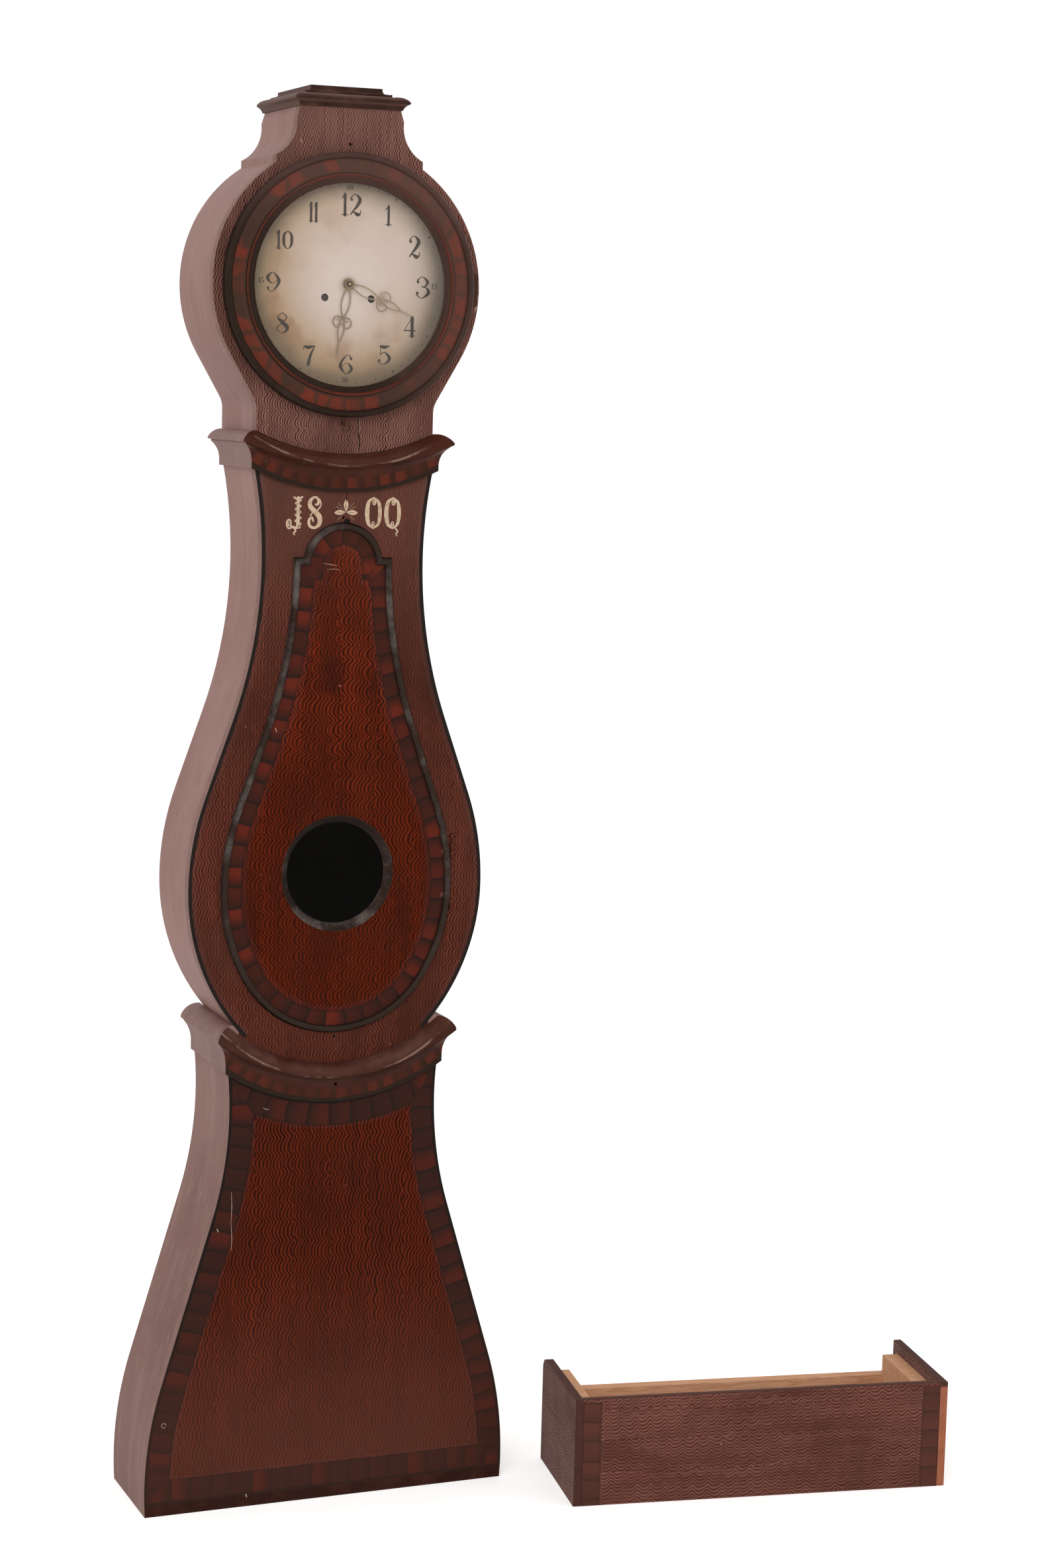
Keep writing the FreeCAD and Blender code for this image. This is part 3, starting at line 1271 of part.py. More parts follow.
def make_striking_train():
    """The pin wheel, warning wheel and fly, and the hammer beside the bell."""
    clear = v.running_clearance
    for name, centre, depth, partner in (("going", GOING, v.going_wheel_depth, CENTRE),
                                         ("strike", STRIKE, v.strike_wheel_depth, PIN)):
        great = wheel(centre, int(v.great_teeth), GREAT_MODULE, depth, bearing(centre, partner),
                      v.barrel_arbor_radius + clear)
        shape_node(name + "_great_wheel", great)
        end = v.barrel_depth + v.barrel_length
        flange = v.barrel_flange_thick
        shaft_end = v.front_plate_depth + 2 * v.plate_thick + v.plate_space
        half = v.winding_square / 2
        square = raised(polygon([(-half, -half), (half, -half), (half, half), (-half, half)]),
                        v.front_plate_depth - v.winding_end_depth)
        square.translate(front_point(*centre, v.winding_end_depth))
        solids = [spindle(centre, v.barrel_depth, end, v.barrel_radius),
                  spindle(centre, v.barrel_depth, v.barrel_depth + flange, v.barrel_flange_radius),
                  spindle(centre, end - flange, end, v.barrel_flange_radius),
                  spindle(centre, v.front_plate_depth, shaft_end, v.barrel_arbor_radius), square]
        shape_node(name + "_barrel", joined(solids))
    solids = [wheel(PIN, int(v.pin_wheel_teeth), v.centre_module, v.pin_wheel_depth, bearing(PIN, WARNING)),
              driven_pinion(PIN, GREAT_MODULE, v.strike_wheel_depth, bearing(PIN, STRIKE))]
    ring = v.centre_module * v.pin_wheel_teeth / 2 - v.root_depth - v.rim_width / 2
    for pin in range(int(v.pin_count)):
        place_at = on_circle(PIN, ring, pin * 360 / v.pin_count)
        solids.append(spindle(place_at, v.pin_wheel_depth - v.plate_thick, v.pin_wheel_depth, v.pin_radius))
    shape_node("pin_wheel", joined(solids + arbor(PIN)))
    solids = [wheel(WARNING, int(v.warning_teeth), v.third_module, v.warning_wheel_depth,
                    bearing(WARNING, FLY)),
              driven_pinion(WARNING, v.centre_module, v.pin_wheel_depth, bearing(WARNING, PIN))]
    shape_node("warning_wheel", joined(solids + arbor(WARNING)))
    half, thin = v.fly_half_width, v.hand_thick / 2
    vane = raised(polygon([(-half, -thin), (half, -thin), (half, thin), (-half, thin)]), v.fly_length)
    vane.translate(front_point(*FLY, v.fly_depth))
    solids = [driven_pinion(FLY, v.third_module, v.warning_wheel_depth, bearing(FLY, WARNING)), vane]
    shape_node("fly", joined(solids + arbor(FLY)))
    rim = -v.bell_radius - v.hammer_gap
    head_z = v.bell_bottom + v.hammer_head_radius
    depth = v.front_plate_depth + v.plate_thick + v.plate_space / 2
    head = Part.makeCylinder(v.hammer_head_radius, v.hammer_head_length,
                             front_point(rim - v.hammer_head_length, head_z, depth), Vector(1, 0, 0))
    head_middle = (rim - v.hammer_head_length / 2, head_z)
    lean = bearing(HAMMER, head_middle)
    side = v.spoke_width / 2
    length = math.dist(HAMMER, head_middle)
    arm = raised(polygon([(0.0, -side), (length, -side), (length, side), (0.0, side)]), v.spoke_width)
    arm.rotate(Vector(), Vector(0, 1, 0), -lean)
    arm.translate(front_point(*HAMMER, depth - side))
    shape_node("hammer", joined([head, arm] + arbor(HAMMER)))
    wall = v.bell_wall
    crown = v.bell_height
    shell = Run((v.bell_post_radius, crown)).line((v.bell_post_radius, crown - wall))
    bend = math.radians(v.bell_strap_angle)
    bend_out, bend_up = math.cos(bend), math.sin(bend)
    inner = v.bell_radius - wall
    shell.bend((inner * bend_out, (crown - wall) * bend_up), (inner, 0.0)).line((v.bell_radius, 0.0))
    shell.bend((v.bell_radius * bend_out, crown * bend_up), (v.bell_post_radius, crown))
    bell = turned("bell_shell", shell, "Z", y=str(depth), z="bell_bottom")
    strap_top = v.plate_top - v.wheel_thick
    post = rod("bell_post", "0", str(depth), str(strap_top), "bell_post_radius",
               "bell_bottom + bell_height + 2 * bell_wall - %s" % strap_top, "Z")
    nut = rod("bell_nut", "0", str(depth), "bell_bottom + bell_height", "hammer_head_radius",
              "bell_wall", "Z")
    node(fuse("bell", [bell, post, nut]), "bell")


def make_pendulum():
    """The anchor with its crutch, and the pendulum with its spring, bob and rating nut."""
    depth = v.escape_wheel_depth
    reach = v.escape_radius + v.pallet_clearance
    tip = on_circle(ESCAPE, reach, 90 - v.pallet_angle)
    tip = (tip[0], tip[1] - ANCHOR[1])
    wide = v.spoke_width / 2
    arms = []
    for side in (1, -1):
        points = [(0.0, wide), (tip[0] + wide, tip[1] / 2 + wide), (tip[0] + 2 * wide, tip[1] / 2),
                  (tip[0] + wide, tip[1]), tip, (tip[0] - wide, tip[1] / 2), (0.0, -wide)]
        arms.append(raised(polygon([(side * x, z) for x, z in points]), v.anchor_thick))
    for arm in arms:
        arm.translate(front_point(*ANCHOR, depth - v.anchor_thick / 4))
    crutch_depth, thick = v.crutch_depth, v.anchor_thick
    leg_start = crutch_depth + v.cock_leg_gap
    shaft = [spindle(ANCHOR, v.front_plate_depth, leg_start + v.plate_thick, v.pivot_radius),
             spindle(ANCHOR, v.front_plate_depth + v.plate_thick + v.arbor_shake,
                     leg_start - v.arbor_shake, v.arbor_radius),
             spindle(ANCHOR, crutch_depth, crutch_depth + thick, v.hub_radius - wide)]
    low = ANCHOR[1] - v.crutch_length
    inner = v.pendulum_rod_radius + v.crutch_gap
    stem = Part.makeBox(wide, thick, v.crutch_length, front_point(-wide / 2, low, crutch_depth))
    bridge = Part.makeBox(2 * (inner + wide), thick, thick,
                          front_point(-inner - wide, low, crutch_depth))
    fork_end = v.pendulum_depth + v.pendulum_rod_radius + wide
    prongs = [Part.makeBox(wide, fork_end - crutch_depth, thick, front_point(x, low, crutch_depth))
              for x in (-inner - wide, inner)]
    shape_node("anchor", joined(arms + shaft + [stem, bridge] + prongs))
    hinge = str(ANCHOR[1])
    bob_z = "(%s - pendulum_length)" % hinge
    spring = box("pendulum_spring", "-spring_thick / 2", "pendulum_depth - spring_width / 2",
                 hinge + " - spring_rise", "spring_thick", "spring_width", "2 * spring_rise")
    end = "(%s - bob_radius - 3 * rating_nut_height)" % bob_z
    stick = rod("pendulum_stick", "0", "pendulum_depth", end, "pendulum_rod_radius",
                "%s - spring_rise - %s" % (hinge, end), "Z")
    node(fuse("pendulum_rod", [spring, stick]), "pendulum_rod")
    half, edge = v.bob_thick / 2, v.bob_edge_thick / 2
    section = Run((0.0, -half)).bend(((v.bob_radius) / 2, -half * 0.75), (v.bob_radius, -edge))
    section.line((v.bob_radius, edge)).bend((v.bob_radius / 2, half * 0.75), (0.0, half))
    section.line((0.0, -half))
    lens = turned("bob_lens", section, "Y", y="pendulum_depth", z=bob_z)
    hole = rod("bob_hole", "0", "pendulum_depth", "%s - bob_radius" % bob_z, "pendulum_rod_radius",
               "2 * bob_radius", "Z")
    nut = rod("rating_nut_blank", "0", "pendulum_depth", "%s - bob_radius - rating_nut_height" % bob_z,
              "rating_nut_radius", "rating_nut_height", "Z")
    nut_hole = rod("rating_nut_hole", "0", "pendulum_depth", "%s - bob_radius - rating_nut_height" % bob_z,
                   "pendulum_rod_radius", "rating_nut_height", "Z")
    node(cut("pendulum_bob", lens, [hole]), "pendulum_bob")
    node(cut("rating_nut_piece", nut, [nut_hole]), "rating_nut")


def make_weights():
    """The seat board on its cheeks, and the two weights hanging from pulleys on their lines."""
    leg = "(barrel_radius + line_radius)"
    seat = box("seat_blank", "-seat_half", "seat_front", "seat_top - seat_thick", "2 * seat_half",
               "seat_back - seat_front", "seat_thick")
    holes = []
    for side in ("-", ""):
        for sign in ("-", "+"):
            name = "seat_hole_%s_%s" % ("left" if side else "right", "inner" if sign == "-" else "outer")
            holes.append(rod(name, "%s(winding_half %s %s)" % (side, sign, leg), "weight_depth",
                             "seat_top - seat_thick", "line_hole_radius", "seat_thick", "Z"))
    node(cut("seat_board", seat, holes), "seat_board")
    inset = v.side_thick + v.hinge_clearance
    waist, radius = trunk_bend(inset)[4:6]
    top = v.trunk_top_half - inset
    top_z = waist[1] + math.sqrt(radius**2 - (waist[0] - top) ** 2)

    def edge_at(z):
        return (waist[0] - math.sqrt(radius**2 - (z - waist[1]) ** 2), z)

    outline = Run((v.cheek_inner_half, v.cheek_bottom)).line(edge_at(v.cheek_bottom))
    outline.bend(edge_at((v.cheek_bottom + top_z) / 2), (top, top_z)).line((top, v.seat_top - v.seat_thick))
    outline.line((v.cheek_inner_half, v.seat_top - v.seat_thick)).line((v.cheek_inner_half, v.cheek_bottom))
    right = board("seat_cheek_right", outline.curves(), "cheek_front", "cheek_back - cheek_front")
    node(group("seat_cheeks", [right, mirrored("seat_cheek_left", right)]), "seat_cheeks")
    half = v.pulley_thick / 2
    depth, line = v.weight_depth, v.line_radius
    swing = v.barrel_radius + line
    lines = []
    for name, side in (("going", 1), ("strike", -1)):
        x = side * v.winding_half
        centre = (x, v.pulley_height)
        sheave = Run((v.pulley_pin_radius + v.running_clearance, -half)).line((v.barrel_flange_radius, -half))
        sheave.line((v.barrel_radius, -line)).line((v.barrel_radius, line))
        sheave.line((v.barrel_flange_radius, half)).line((v.pulley_pin_radius + v.running_clearance, half))
        sheave.line(sheave.parts[0][0])
        node(turned(name + "_pulley", sheave, "Y", str(x), "weight_depth", "pulley_height"), name + "_pulley")
        strap_out = half + v.arbor_shake + v.strap_thick
        strap_low = v.pulley_height - v.barrel_flange_radius - 2 * v.strap_thick
        outer = Part.makeBox(2 * v.strap_half, 2 * strap_out, v.pulley_height + v.strap_half - strap_low,
                             front_point(x - v.strap_half, strap_low, depth - strap_out))
        inner = Part.makeBox(2 * v.strap_half, 2 * (strap_out - v.strap_thick),
                             v.pulley_height + v.strap_half - strap_low,
                             front_point(x - v.strap_half, strap_low + v.strap_thick,
                                         depth - strap_out + v.strap_thick))
        weight_top = v.pulley_height - v.weight_drop
        bar = Part.makeCylinder(v.weight_radius, v.weight_height,
                                front_point(x, weight_top - v.weight_height, depth), Vector(0, 0, 1))
        bar = bar.makeFillet(v.weight_round, [edge for edge in bar.Edges if len(edge.Vertexes) == 1])
        hook = Part.makeCylinder(v.weight_hook_radius, strap_low - weight_top + v.strap_thick,
                                 front_point(x, weight_top, depth), Vector(0, 0, 1))
        pin = spindle(centre, depth - strap_out, depth + strap_out, v.pulley_pin_radius)
        shape_node(name + "_weight", joined([bar, hook, outer.cut(inner), pin]))
        ring = Part.Face(Part.Wire(Part.makeCircle(line, front_point(x + swing, v.pulley_height, depth))))
        loop = ring.revolve(front_point(*centre, depth), Vector(0, 1, 0), 180)
        drum_z = v.centre_height - v.winding_drop
        knot_z = v.seat_top + v.line_knot_radius - line
        inner_x, outer_x = x - side * swing, x + side * swing
        outer_leg = Part.makeCylinder(line, drum_z - v.pulley_height,
                                      front_point(outer_x, v.pulley_height, depth), Vector(0, 0, 1))
        inner_leg = Part.makeCylinder(line, knot_z - v.pulley_height,
                                      front_point(inner_x, v.pulley_height, depth), Vector(0, 0, 1))
        knot = Part.makeSphere(v.line_knot_radius, front_point(inner_x, knot_z, depth))
        if loop.Volume < 0:
            loop = loop.reversed()
        lines.append(loop.multiFuse([outer_leg, inner_leg, knot]))
    shape_node("weight_lines", Part.makeCompound(lines))


def plinth_box(label, along_front, across, up, long, deep, high):
    """A board of the loose plinth, from its lowest corner in the plinth's own directions."""
    solid = box(label, "0", "0", "0", long, deep, high)
    solid.Placement = Placement(Vector(), Rotation(Vector(0, 0, 1), -v.plinth_turn))
    x = "plinth_side_place + (%s) * cos(plinth_turn) + (%s) * sin(plinth_turn)" % (along_front, across)
    y = "-plinth_front_place - (%s) * sin(plinth_turn) + (%s) * cos(plinth_turn)" % (along_front, across)
    return place(solid, x, y, up)


def rounded(label, base, radius, corners):
    """A board with the edges that lie near the given points rounded off."""
    base.recompute()
    chosen = []
    for number, edge in enumerate(base.Shape.Edges, 1):
        if any(edge.distToShape(Part.Vertex(corner))[0] < v.hand_thick for corner in corners):
            chosen.append((number, radius, radius))
    result = doc.addObject("Part::Fillet", label)
    result.Base = base
    result.Edges = chosen
    return result


def plinth_point(along_front, across, up):
    """A point given in the plinth's own directions."""
    turn = math.radians(v.plinth_turn)
    return front_point(v.plinth_side_place + along_front * math.cos(turn) + across * math.sin(turn), up,
                       -v.plinth_front_place - along_front * math.sin(turn) + across * math.cos(turn))


def make_plinth():
    """The loose plinth: a front board between two sides, lined on three sides inside."""
    thick, high = "plinth_board", "plinth_height"
    inside = "plinth_length - 2 * plinth_board"
    front = plinth_box("plinth_front_board", thick, "0", "0", inside, thick, high)
    corner = plinth_point(v.plinth_length / 2, 0.0, v.plinth_height)
    node(rounded("plinth_front", front, v.plinth_round, [corner]), "plinth_front")
    left = plinth_box("plinth_side_left_board", "0", "0", "0", thick, "plinth_width", high)
    corner = plinth_point(v.plinth_board / 2, v.plinth_width, v.plinth_height)
    left = rounded("plinth_side_left", left, v.plinth_corner_round, [corner])
    right = plinth_box("plinth_side_right", "plinth_length - plinth_board", "0", "0", thick,
                       "plinth_width", high)
    node(group("plinth_sides", [left, right]), "plinth_sides")
    depth = "plinth_width - plinth_board - plinth_back_thick"
    lining = "plinth_height - plinth_lining_drop"
    linings = [plinth_box("plinth_lining_left", thick, thick, "0", "plinth_lining_thick", depth, lining),
               plinth_box("plinth_lining_right", "plinth_length - plinth_board - plinth_lining_thick", thick,
                          "0", "plinth_lining_thick", depth, lining),
               plinth_box("plinth_lining_back", thick, "plinth_width - plinth_back_thick", "0", inside,
                          "plinth_back_thick", "plinth_height - plinth_back_drop")]
    node(group("plinth_linings", linings), "plinth_linings")


def check_and_export():
    """Stops on any failed object, then writes each piece's solids to its own file."""
    doc.recompute()
    failed = [item.Name for item in doc.Objects if {"Invalid", "Error"} & set(item.State)]
    if failed:
        raise SystemExit("failed objects: %s" % ", ".join(failed))
    os.makedirs("parts", exist_ok=True)
    for piece in NODES:
        if piece.Shape.isNull() or not piece.Shape.isValid() or not piece.Shape.Solids:
            raise SystemExit("bad shape: %s" % piece.Label)
        piece.Shape.exportStep(os.path.join("parts", piece.Label + ".step"))
    print("%d pieces" % len(NODES))


make_base()
make_trunk()
make_backboard()
make_mouldings()
make_trunk_door()
make_hood()
make_bezel()
make_dial()
make_plates()
make_going_train()
make_striking_train()
make_pendulum()
make_weights()
make_plinth()
check_and_export()
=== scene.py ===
"""Dresses the tall painted clock and its loose plinth, and sets them in a pale studio."""

import json
import logging
import math
from dataclasses import dataclass, field, replace
from enum import Enum
from typing import Any, Callable, Optional, Sequence, Union

import bpy
from mathutils import Matrix, Vector

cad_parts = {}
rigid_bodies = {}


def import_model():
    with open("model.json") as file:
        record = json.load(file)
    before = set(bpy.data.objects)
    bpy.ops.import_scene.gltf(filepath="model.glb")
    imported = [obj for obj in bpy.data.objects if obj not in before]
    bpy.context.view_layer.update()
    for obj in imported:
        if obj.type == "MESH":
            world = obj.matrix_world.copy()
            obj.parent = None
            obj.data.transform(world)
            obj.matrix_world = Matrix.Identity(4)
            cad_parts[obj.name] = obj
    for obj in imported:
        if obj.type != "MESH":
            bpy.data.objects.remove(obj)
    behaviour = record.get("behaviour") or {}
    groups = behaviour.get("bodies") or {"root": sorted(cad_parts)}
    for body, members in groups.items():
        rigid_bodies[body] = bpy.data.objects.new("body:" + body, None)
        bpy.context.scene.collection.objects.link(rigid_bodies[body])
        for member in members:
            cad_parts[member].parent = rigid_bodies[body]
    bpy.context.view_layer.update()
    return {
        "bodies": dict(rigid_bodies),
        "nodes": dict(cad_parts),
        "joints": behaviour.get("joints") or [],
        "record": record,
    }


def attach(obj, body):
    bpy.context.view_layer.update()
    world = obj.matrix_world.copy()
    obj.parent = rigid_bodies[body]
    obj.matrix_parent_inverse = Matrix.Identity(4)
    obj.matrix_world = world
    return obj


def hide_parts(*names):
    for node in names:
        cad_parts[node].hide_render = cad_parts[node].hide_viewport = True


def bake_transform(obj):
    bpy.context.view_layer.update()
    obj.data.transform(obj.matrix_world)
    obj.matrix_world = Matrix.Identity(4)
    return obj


log = logging.getLogger("clock")

Colour = tuple[float, float, float]
Point = tuple[float, float]
Place = tuple[float, float, float]
Where = Callable[[float, float], Place]
Frame = dict[str, Any]
Face = list[tuple[float, ...]]
MM = 0.001

FRONT_Y = -87.5 * MM
"""The Y of the faces of the base's, trunk's and hood's front boards."""

DIAL_HEIGHT = 1.801
"""The height of the middle of the dial's opening."""

HUB_HEIGHT = 1.803
"""The height of the arbor that carries the hands."""

DRUM_HALF, DRUM_HEIGHT = 35 * MM, 1.783
"""Half the distance between the middles of the two drums, and their height."""

COAT_PROUD = 0.25 * MM
"""How far a painted border lies in front of its board."""


def paint(red: int, green: int, blue: int) -> Colour:
    """A colour as the eye names it, turned into linear light.

    Args:
        red: its red part, 0 to 255.
        green: its green part.
        blue: its blue part.

    Returns:
        The colour's parts in linear light, nothing to one.
    """
    def linear(part: int) -> float:
        """One part in linear light."""
        share = part / 255
        return share / 12.92 if share <= 0.04045 else ((share + 0.055) / 1.055) ** 2.4

    return (linear(red), linear(green), linear(blue))


WARM_SHINE = paint(255, 198, 168)
"""The tint of light that glances off the old varnish."""


class Wire:
    """One output of a shader node that can be used in plain arithmetic."""

    def __init__(self, shader: "Shader", socket: bpy.types.NodeSocket) -> None:
        """Keeps the socket and the shader that it belongs to."""
        self.shader = shader
        self.socket = socket

    def _math(self, operation: str, *values: Any) -> "Wire":
        """A Math node on these values."""
        return self.shader.add("ShaderNodeMath", {"operation": operation}, dict(enumerate(values)))

    def __add__(self, other: "Number") -> "Wire":
        """Sum."""
        return self._math("ADD", self, other)

    def __radd__(self, other: float) -> "Wire":
        """Sum with a plain number in front."""
        return self._math("ADD", other, self)

    def __sub__(self, other: "Number") -> "Wire":
        """Difference."""
        return self._math("SUBTRACT", self, other)

    def __rsub__(self, other: float) -> "Wire":
        """Difference from a plain number."""
        return self._math("SUBTRACT", other, self)

    def __mul__(self, other: "Number") -> "Wire":
        """Product."""
        return self._math("MULTIPLY", self, other)

    def __rmul__(self, other: float) -> "Wire":
        """Product with a plain number in front."""
        return self._math("MULTIPLY", other, self)

    def __truediv__(self, other: "Number") -> "Wire":
        """Quotient."""
        return self._math("DIVIDE", self, other)

    def __rtruediv__(self, other: float) -> "Wire":
        """A plain number divided by this."""
        return self._math("DIVIDE", other, self)

    def absolute(self) -> "Wire":
        """Size without its sign."""
        return self._math("ABSOLUTE", self)

    def whole(self) -> "Wire":
        """Rounded down."""
        return self._math("FLOOR", self)

    def part(self) -> "Wire":
        """What is left above the whole number."""
        return self._math("FRACT", self)

    def root(self) -> "Wire":
        """Square root."""
        return self._math("SQRT", self)

    def turn_to(self, other: "Number") -> "Wire":
        """The angle of this over the other."""
        return self._math("ARCTAN2", self, other)

    def at_least(self, other: "Number") -> "Wire":
        """The larger of the two."""
        return self._math("MAXIMUM", self, other)

    def at_most(self, other: "Number") -> "Wire":
        """The smaller of the two."""
        return self._math("MINIMUM", self, other)

    def step(self, low: float, high: float) -> "Wire":
        """A soft step from nothing at low to one at high.

        Args:
            low: where the step starts.
            high: where it is done; below low for a falling step.

        Returns:
            A value from nothing to one.
        """
        flipped = low > high
        low, high = min(low, high), max(low, high)
        rise = self.shader.add("ShaderNodeMapRange", {"interpolation_type": "SMOOTHSTEP"},
                               {"Value": self, "From Min": low, "From Max": high})
        return 1 - rise if flipped else rise

    def wave(self) -> "Wire":
        """A smooth wave between minus one and one for each whole step."""
        return self._math("SINE", self * math.tau)

    def zigzag(self) -> "Wire":
        """A triangle wave from nothing to one and back for each whole step."""
        return ((self.part() - 0.5) * 2).absolute()


Number = Union[Wire, float]

SEEN_RAYS = ("Is Camera Ray", "Is Glossy Ray", "Is Transmission Ray")


class Shader:
    """The node tree of one material, or of the world, built from expressions."""

    def __init__(self, name: str, world: Optional[bpy.types.World] = None) -> None:
        """Starts an empty tree.

        Args:
            name: the new material's name.
            world: the world whose tree is built instead of a material's.
        """
        self.owner = world or bpy.data.materials.new(name)
        self.owner.use_nodes = True
        self.tree = self.owner.node_tree
        self.tree.nodes.clear()
        self.output = self.tree.nodes.new("ShaderNodeOutputWorld" if world else "ShaderNodeOutputMaterial")

    def add(self, kind: str, settings: dict[str, Any], values: dict[Any, Any], out: Any = 0) -> Wire:
        """Adds a node, its settings first and then its sockets.

        Args:
            kind: the node's type.
            settings: the node's own options.
            values: socket name or number to a wire or a plain value.
            out: the output that is wanted.

        Returns:
            The wire of that output.
        """
        node = self.tree.nodes.new(kind)
        for name, value in settings.items():
            setattr(node, name, value)
        for name, value in values.items():
            socket = node.inputs[name]
            if isinstance(value, Wire):
                self.tree.links.new(value.socket, socket)
            elif isinstance(value, tuple) and len(value) == 3 and len(socket.default_value) == 4:
                socket.default_value = (*value, 1.0)
            else:
                socket.default_value = value
        return Wire(self, node.outputs[out])

    def mix(self, factor: Number, first: Any, second: Any) -> Wire:
        """A colour between two colours."""
        return self.add("ShaderNodeMix", {"data_type": "RGBA"}, {0: factor, 6: first, 7: second}, 2)

    def shade(self, colour: Any, amount: Number) -> Wire:
        """A colour made lighter or darker by a plain amount."""
        vector = self.add("ShaderNodeCombineXYZ", {}, {0: amount, 1: amount, 2: amount})
        return self.add("ShaderNodeMix", {"data_type": "RGBA", "blend_type": "MULTIPLY"},
                        {0: 1.0, 6: colour, 7: vector}, 2)

    def place(self, turn: float = 0.0) -> tuple[Wire, Wire, Wire]:
        """The point on the piece, in metres, as three numbers.

        Args:
            turn: how far the piece stands turned about Z, in radians.

        Returns:
            The point's x, y and z along the piece's own sides.
        """
        spot = self.add("ShaderNodeTexCoord", {}, {}, "Object")
        x, y, z = (self.add("ShaderNodeSeparateXYZ", {}, {0: spot}, i) for i in range(3))
        if turn:
            cosine, sine = math.cos(turn), math.sin(turn)
            x, y = x * cosine + y * -sine, x * sine + y * cosine
        return x, y, z

    def frontness(self, turn: float = 0.0) -> Wire:
        """One on faces that look forwards or backwards, nothing on the edges of a board.

        Args:
            turn: how far the board stands turned about Z, in radians.

        Returns:
            The mask.
        """
        normal = self.add("ShaderNodeTexCoord", {}, {}, "Normal")
        x, y = (self.add("ShaderNodeSeparateXYZ", {}, {0: normal}, i) for i in range(2))
        return (x * math.sin(turn) + y * math.cos(turn)).absolute().step(0.5, 0.8)

    def strip(self) -> tuple[Wire, Wire]:
        """The length along a painted strip and the distance in from its edge, in metres."""
        spot = self.add("ShaderNodeUVMap", {"uv_map": "strip"}, {})
        return tuple(self.add("ShaderNodeSeparateXYZ", {}, {0: spot}, i) for i in range(2))

    def vector(self, x: Number, y: Number, z: Number) -> Wire:
        """Three numbers as one vector."""
        return self.add("ShaderNodeCombineXYZ", {}, {0: x, 1: y, 2: z})

    def noise(self, spot: Wire, scale: float, detail: float = 3.0, rough: float = 0.5) -> Wire:
        """Cloudy noise from nothing to one."""
        return self.add("ShaderNodeTexNoise", {}, {"Vector": spot, "Scale": scale, "Detail": detail,
                                                   "Roughness": rough}, "Fac")

    def chance(self, number: Wire) -> Wire:
        """A random value that stays the same for the same number."""
        return self.add("ShaderNodeTexWhiteNoise", {"noise_dimensions": "1D"}, {"W": number}, "Value")

    def bump(self, height: Wire, deep: float, strength: float = 1.0) -> Wire:
        """A surface roughened by a height."""
        return self.add("ShaderNodeBump", {}, {"Height": height, "Distance": deep, "Strength": strength})

    def seen(self) -> Wire:
        """One where a ray shows the thing itself, nothing where it only carries light."""
        return sum((self.add("ShaderNodeLightPath", {}, {}, ray) for ray in SEEN_RAYS), 0.0).at_most(1.0)

    def close(self, surface: Wire) -> Union[bpy.types.Material, bpy.types.World]:
        """Ends the tree with a surface.

        Args:
            surface: the shader that is wanted.

        Returns:
            The material or the world.
        """
        self.tree.links.new(surface.socket, self.output.inputs["Surface"])
        return self.owner

    def finish(self, **sockets: Any) -> bpy.types.Material:
        """Ends the material with its surface.

        Args:
            sockets: the surface's sockets, spaces written as underscores.

        Returns:
            The material.
        """
        named = {name.replace("_", " "): value for name, value in sockets.items()}
        return self.close(self.add("ShaderNodeBsdfPrincipled", {}, named))


class Lay(Enum):
    """Which way the comb was drawn through the wet paint."""

    UPRIGHT = "upright"
    LEVEL = "level"


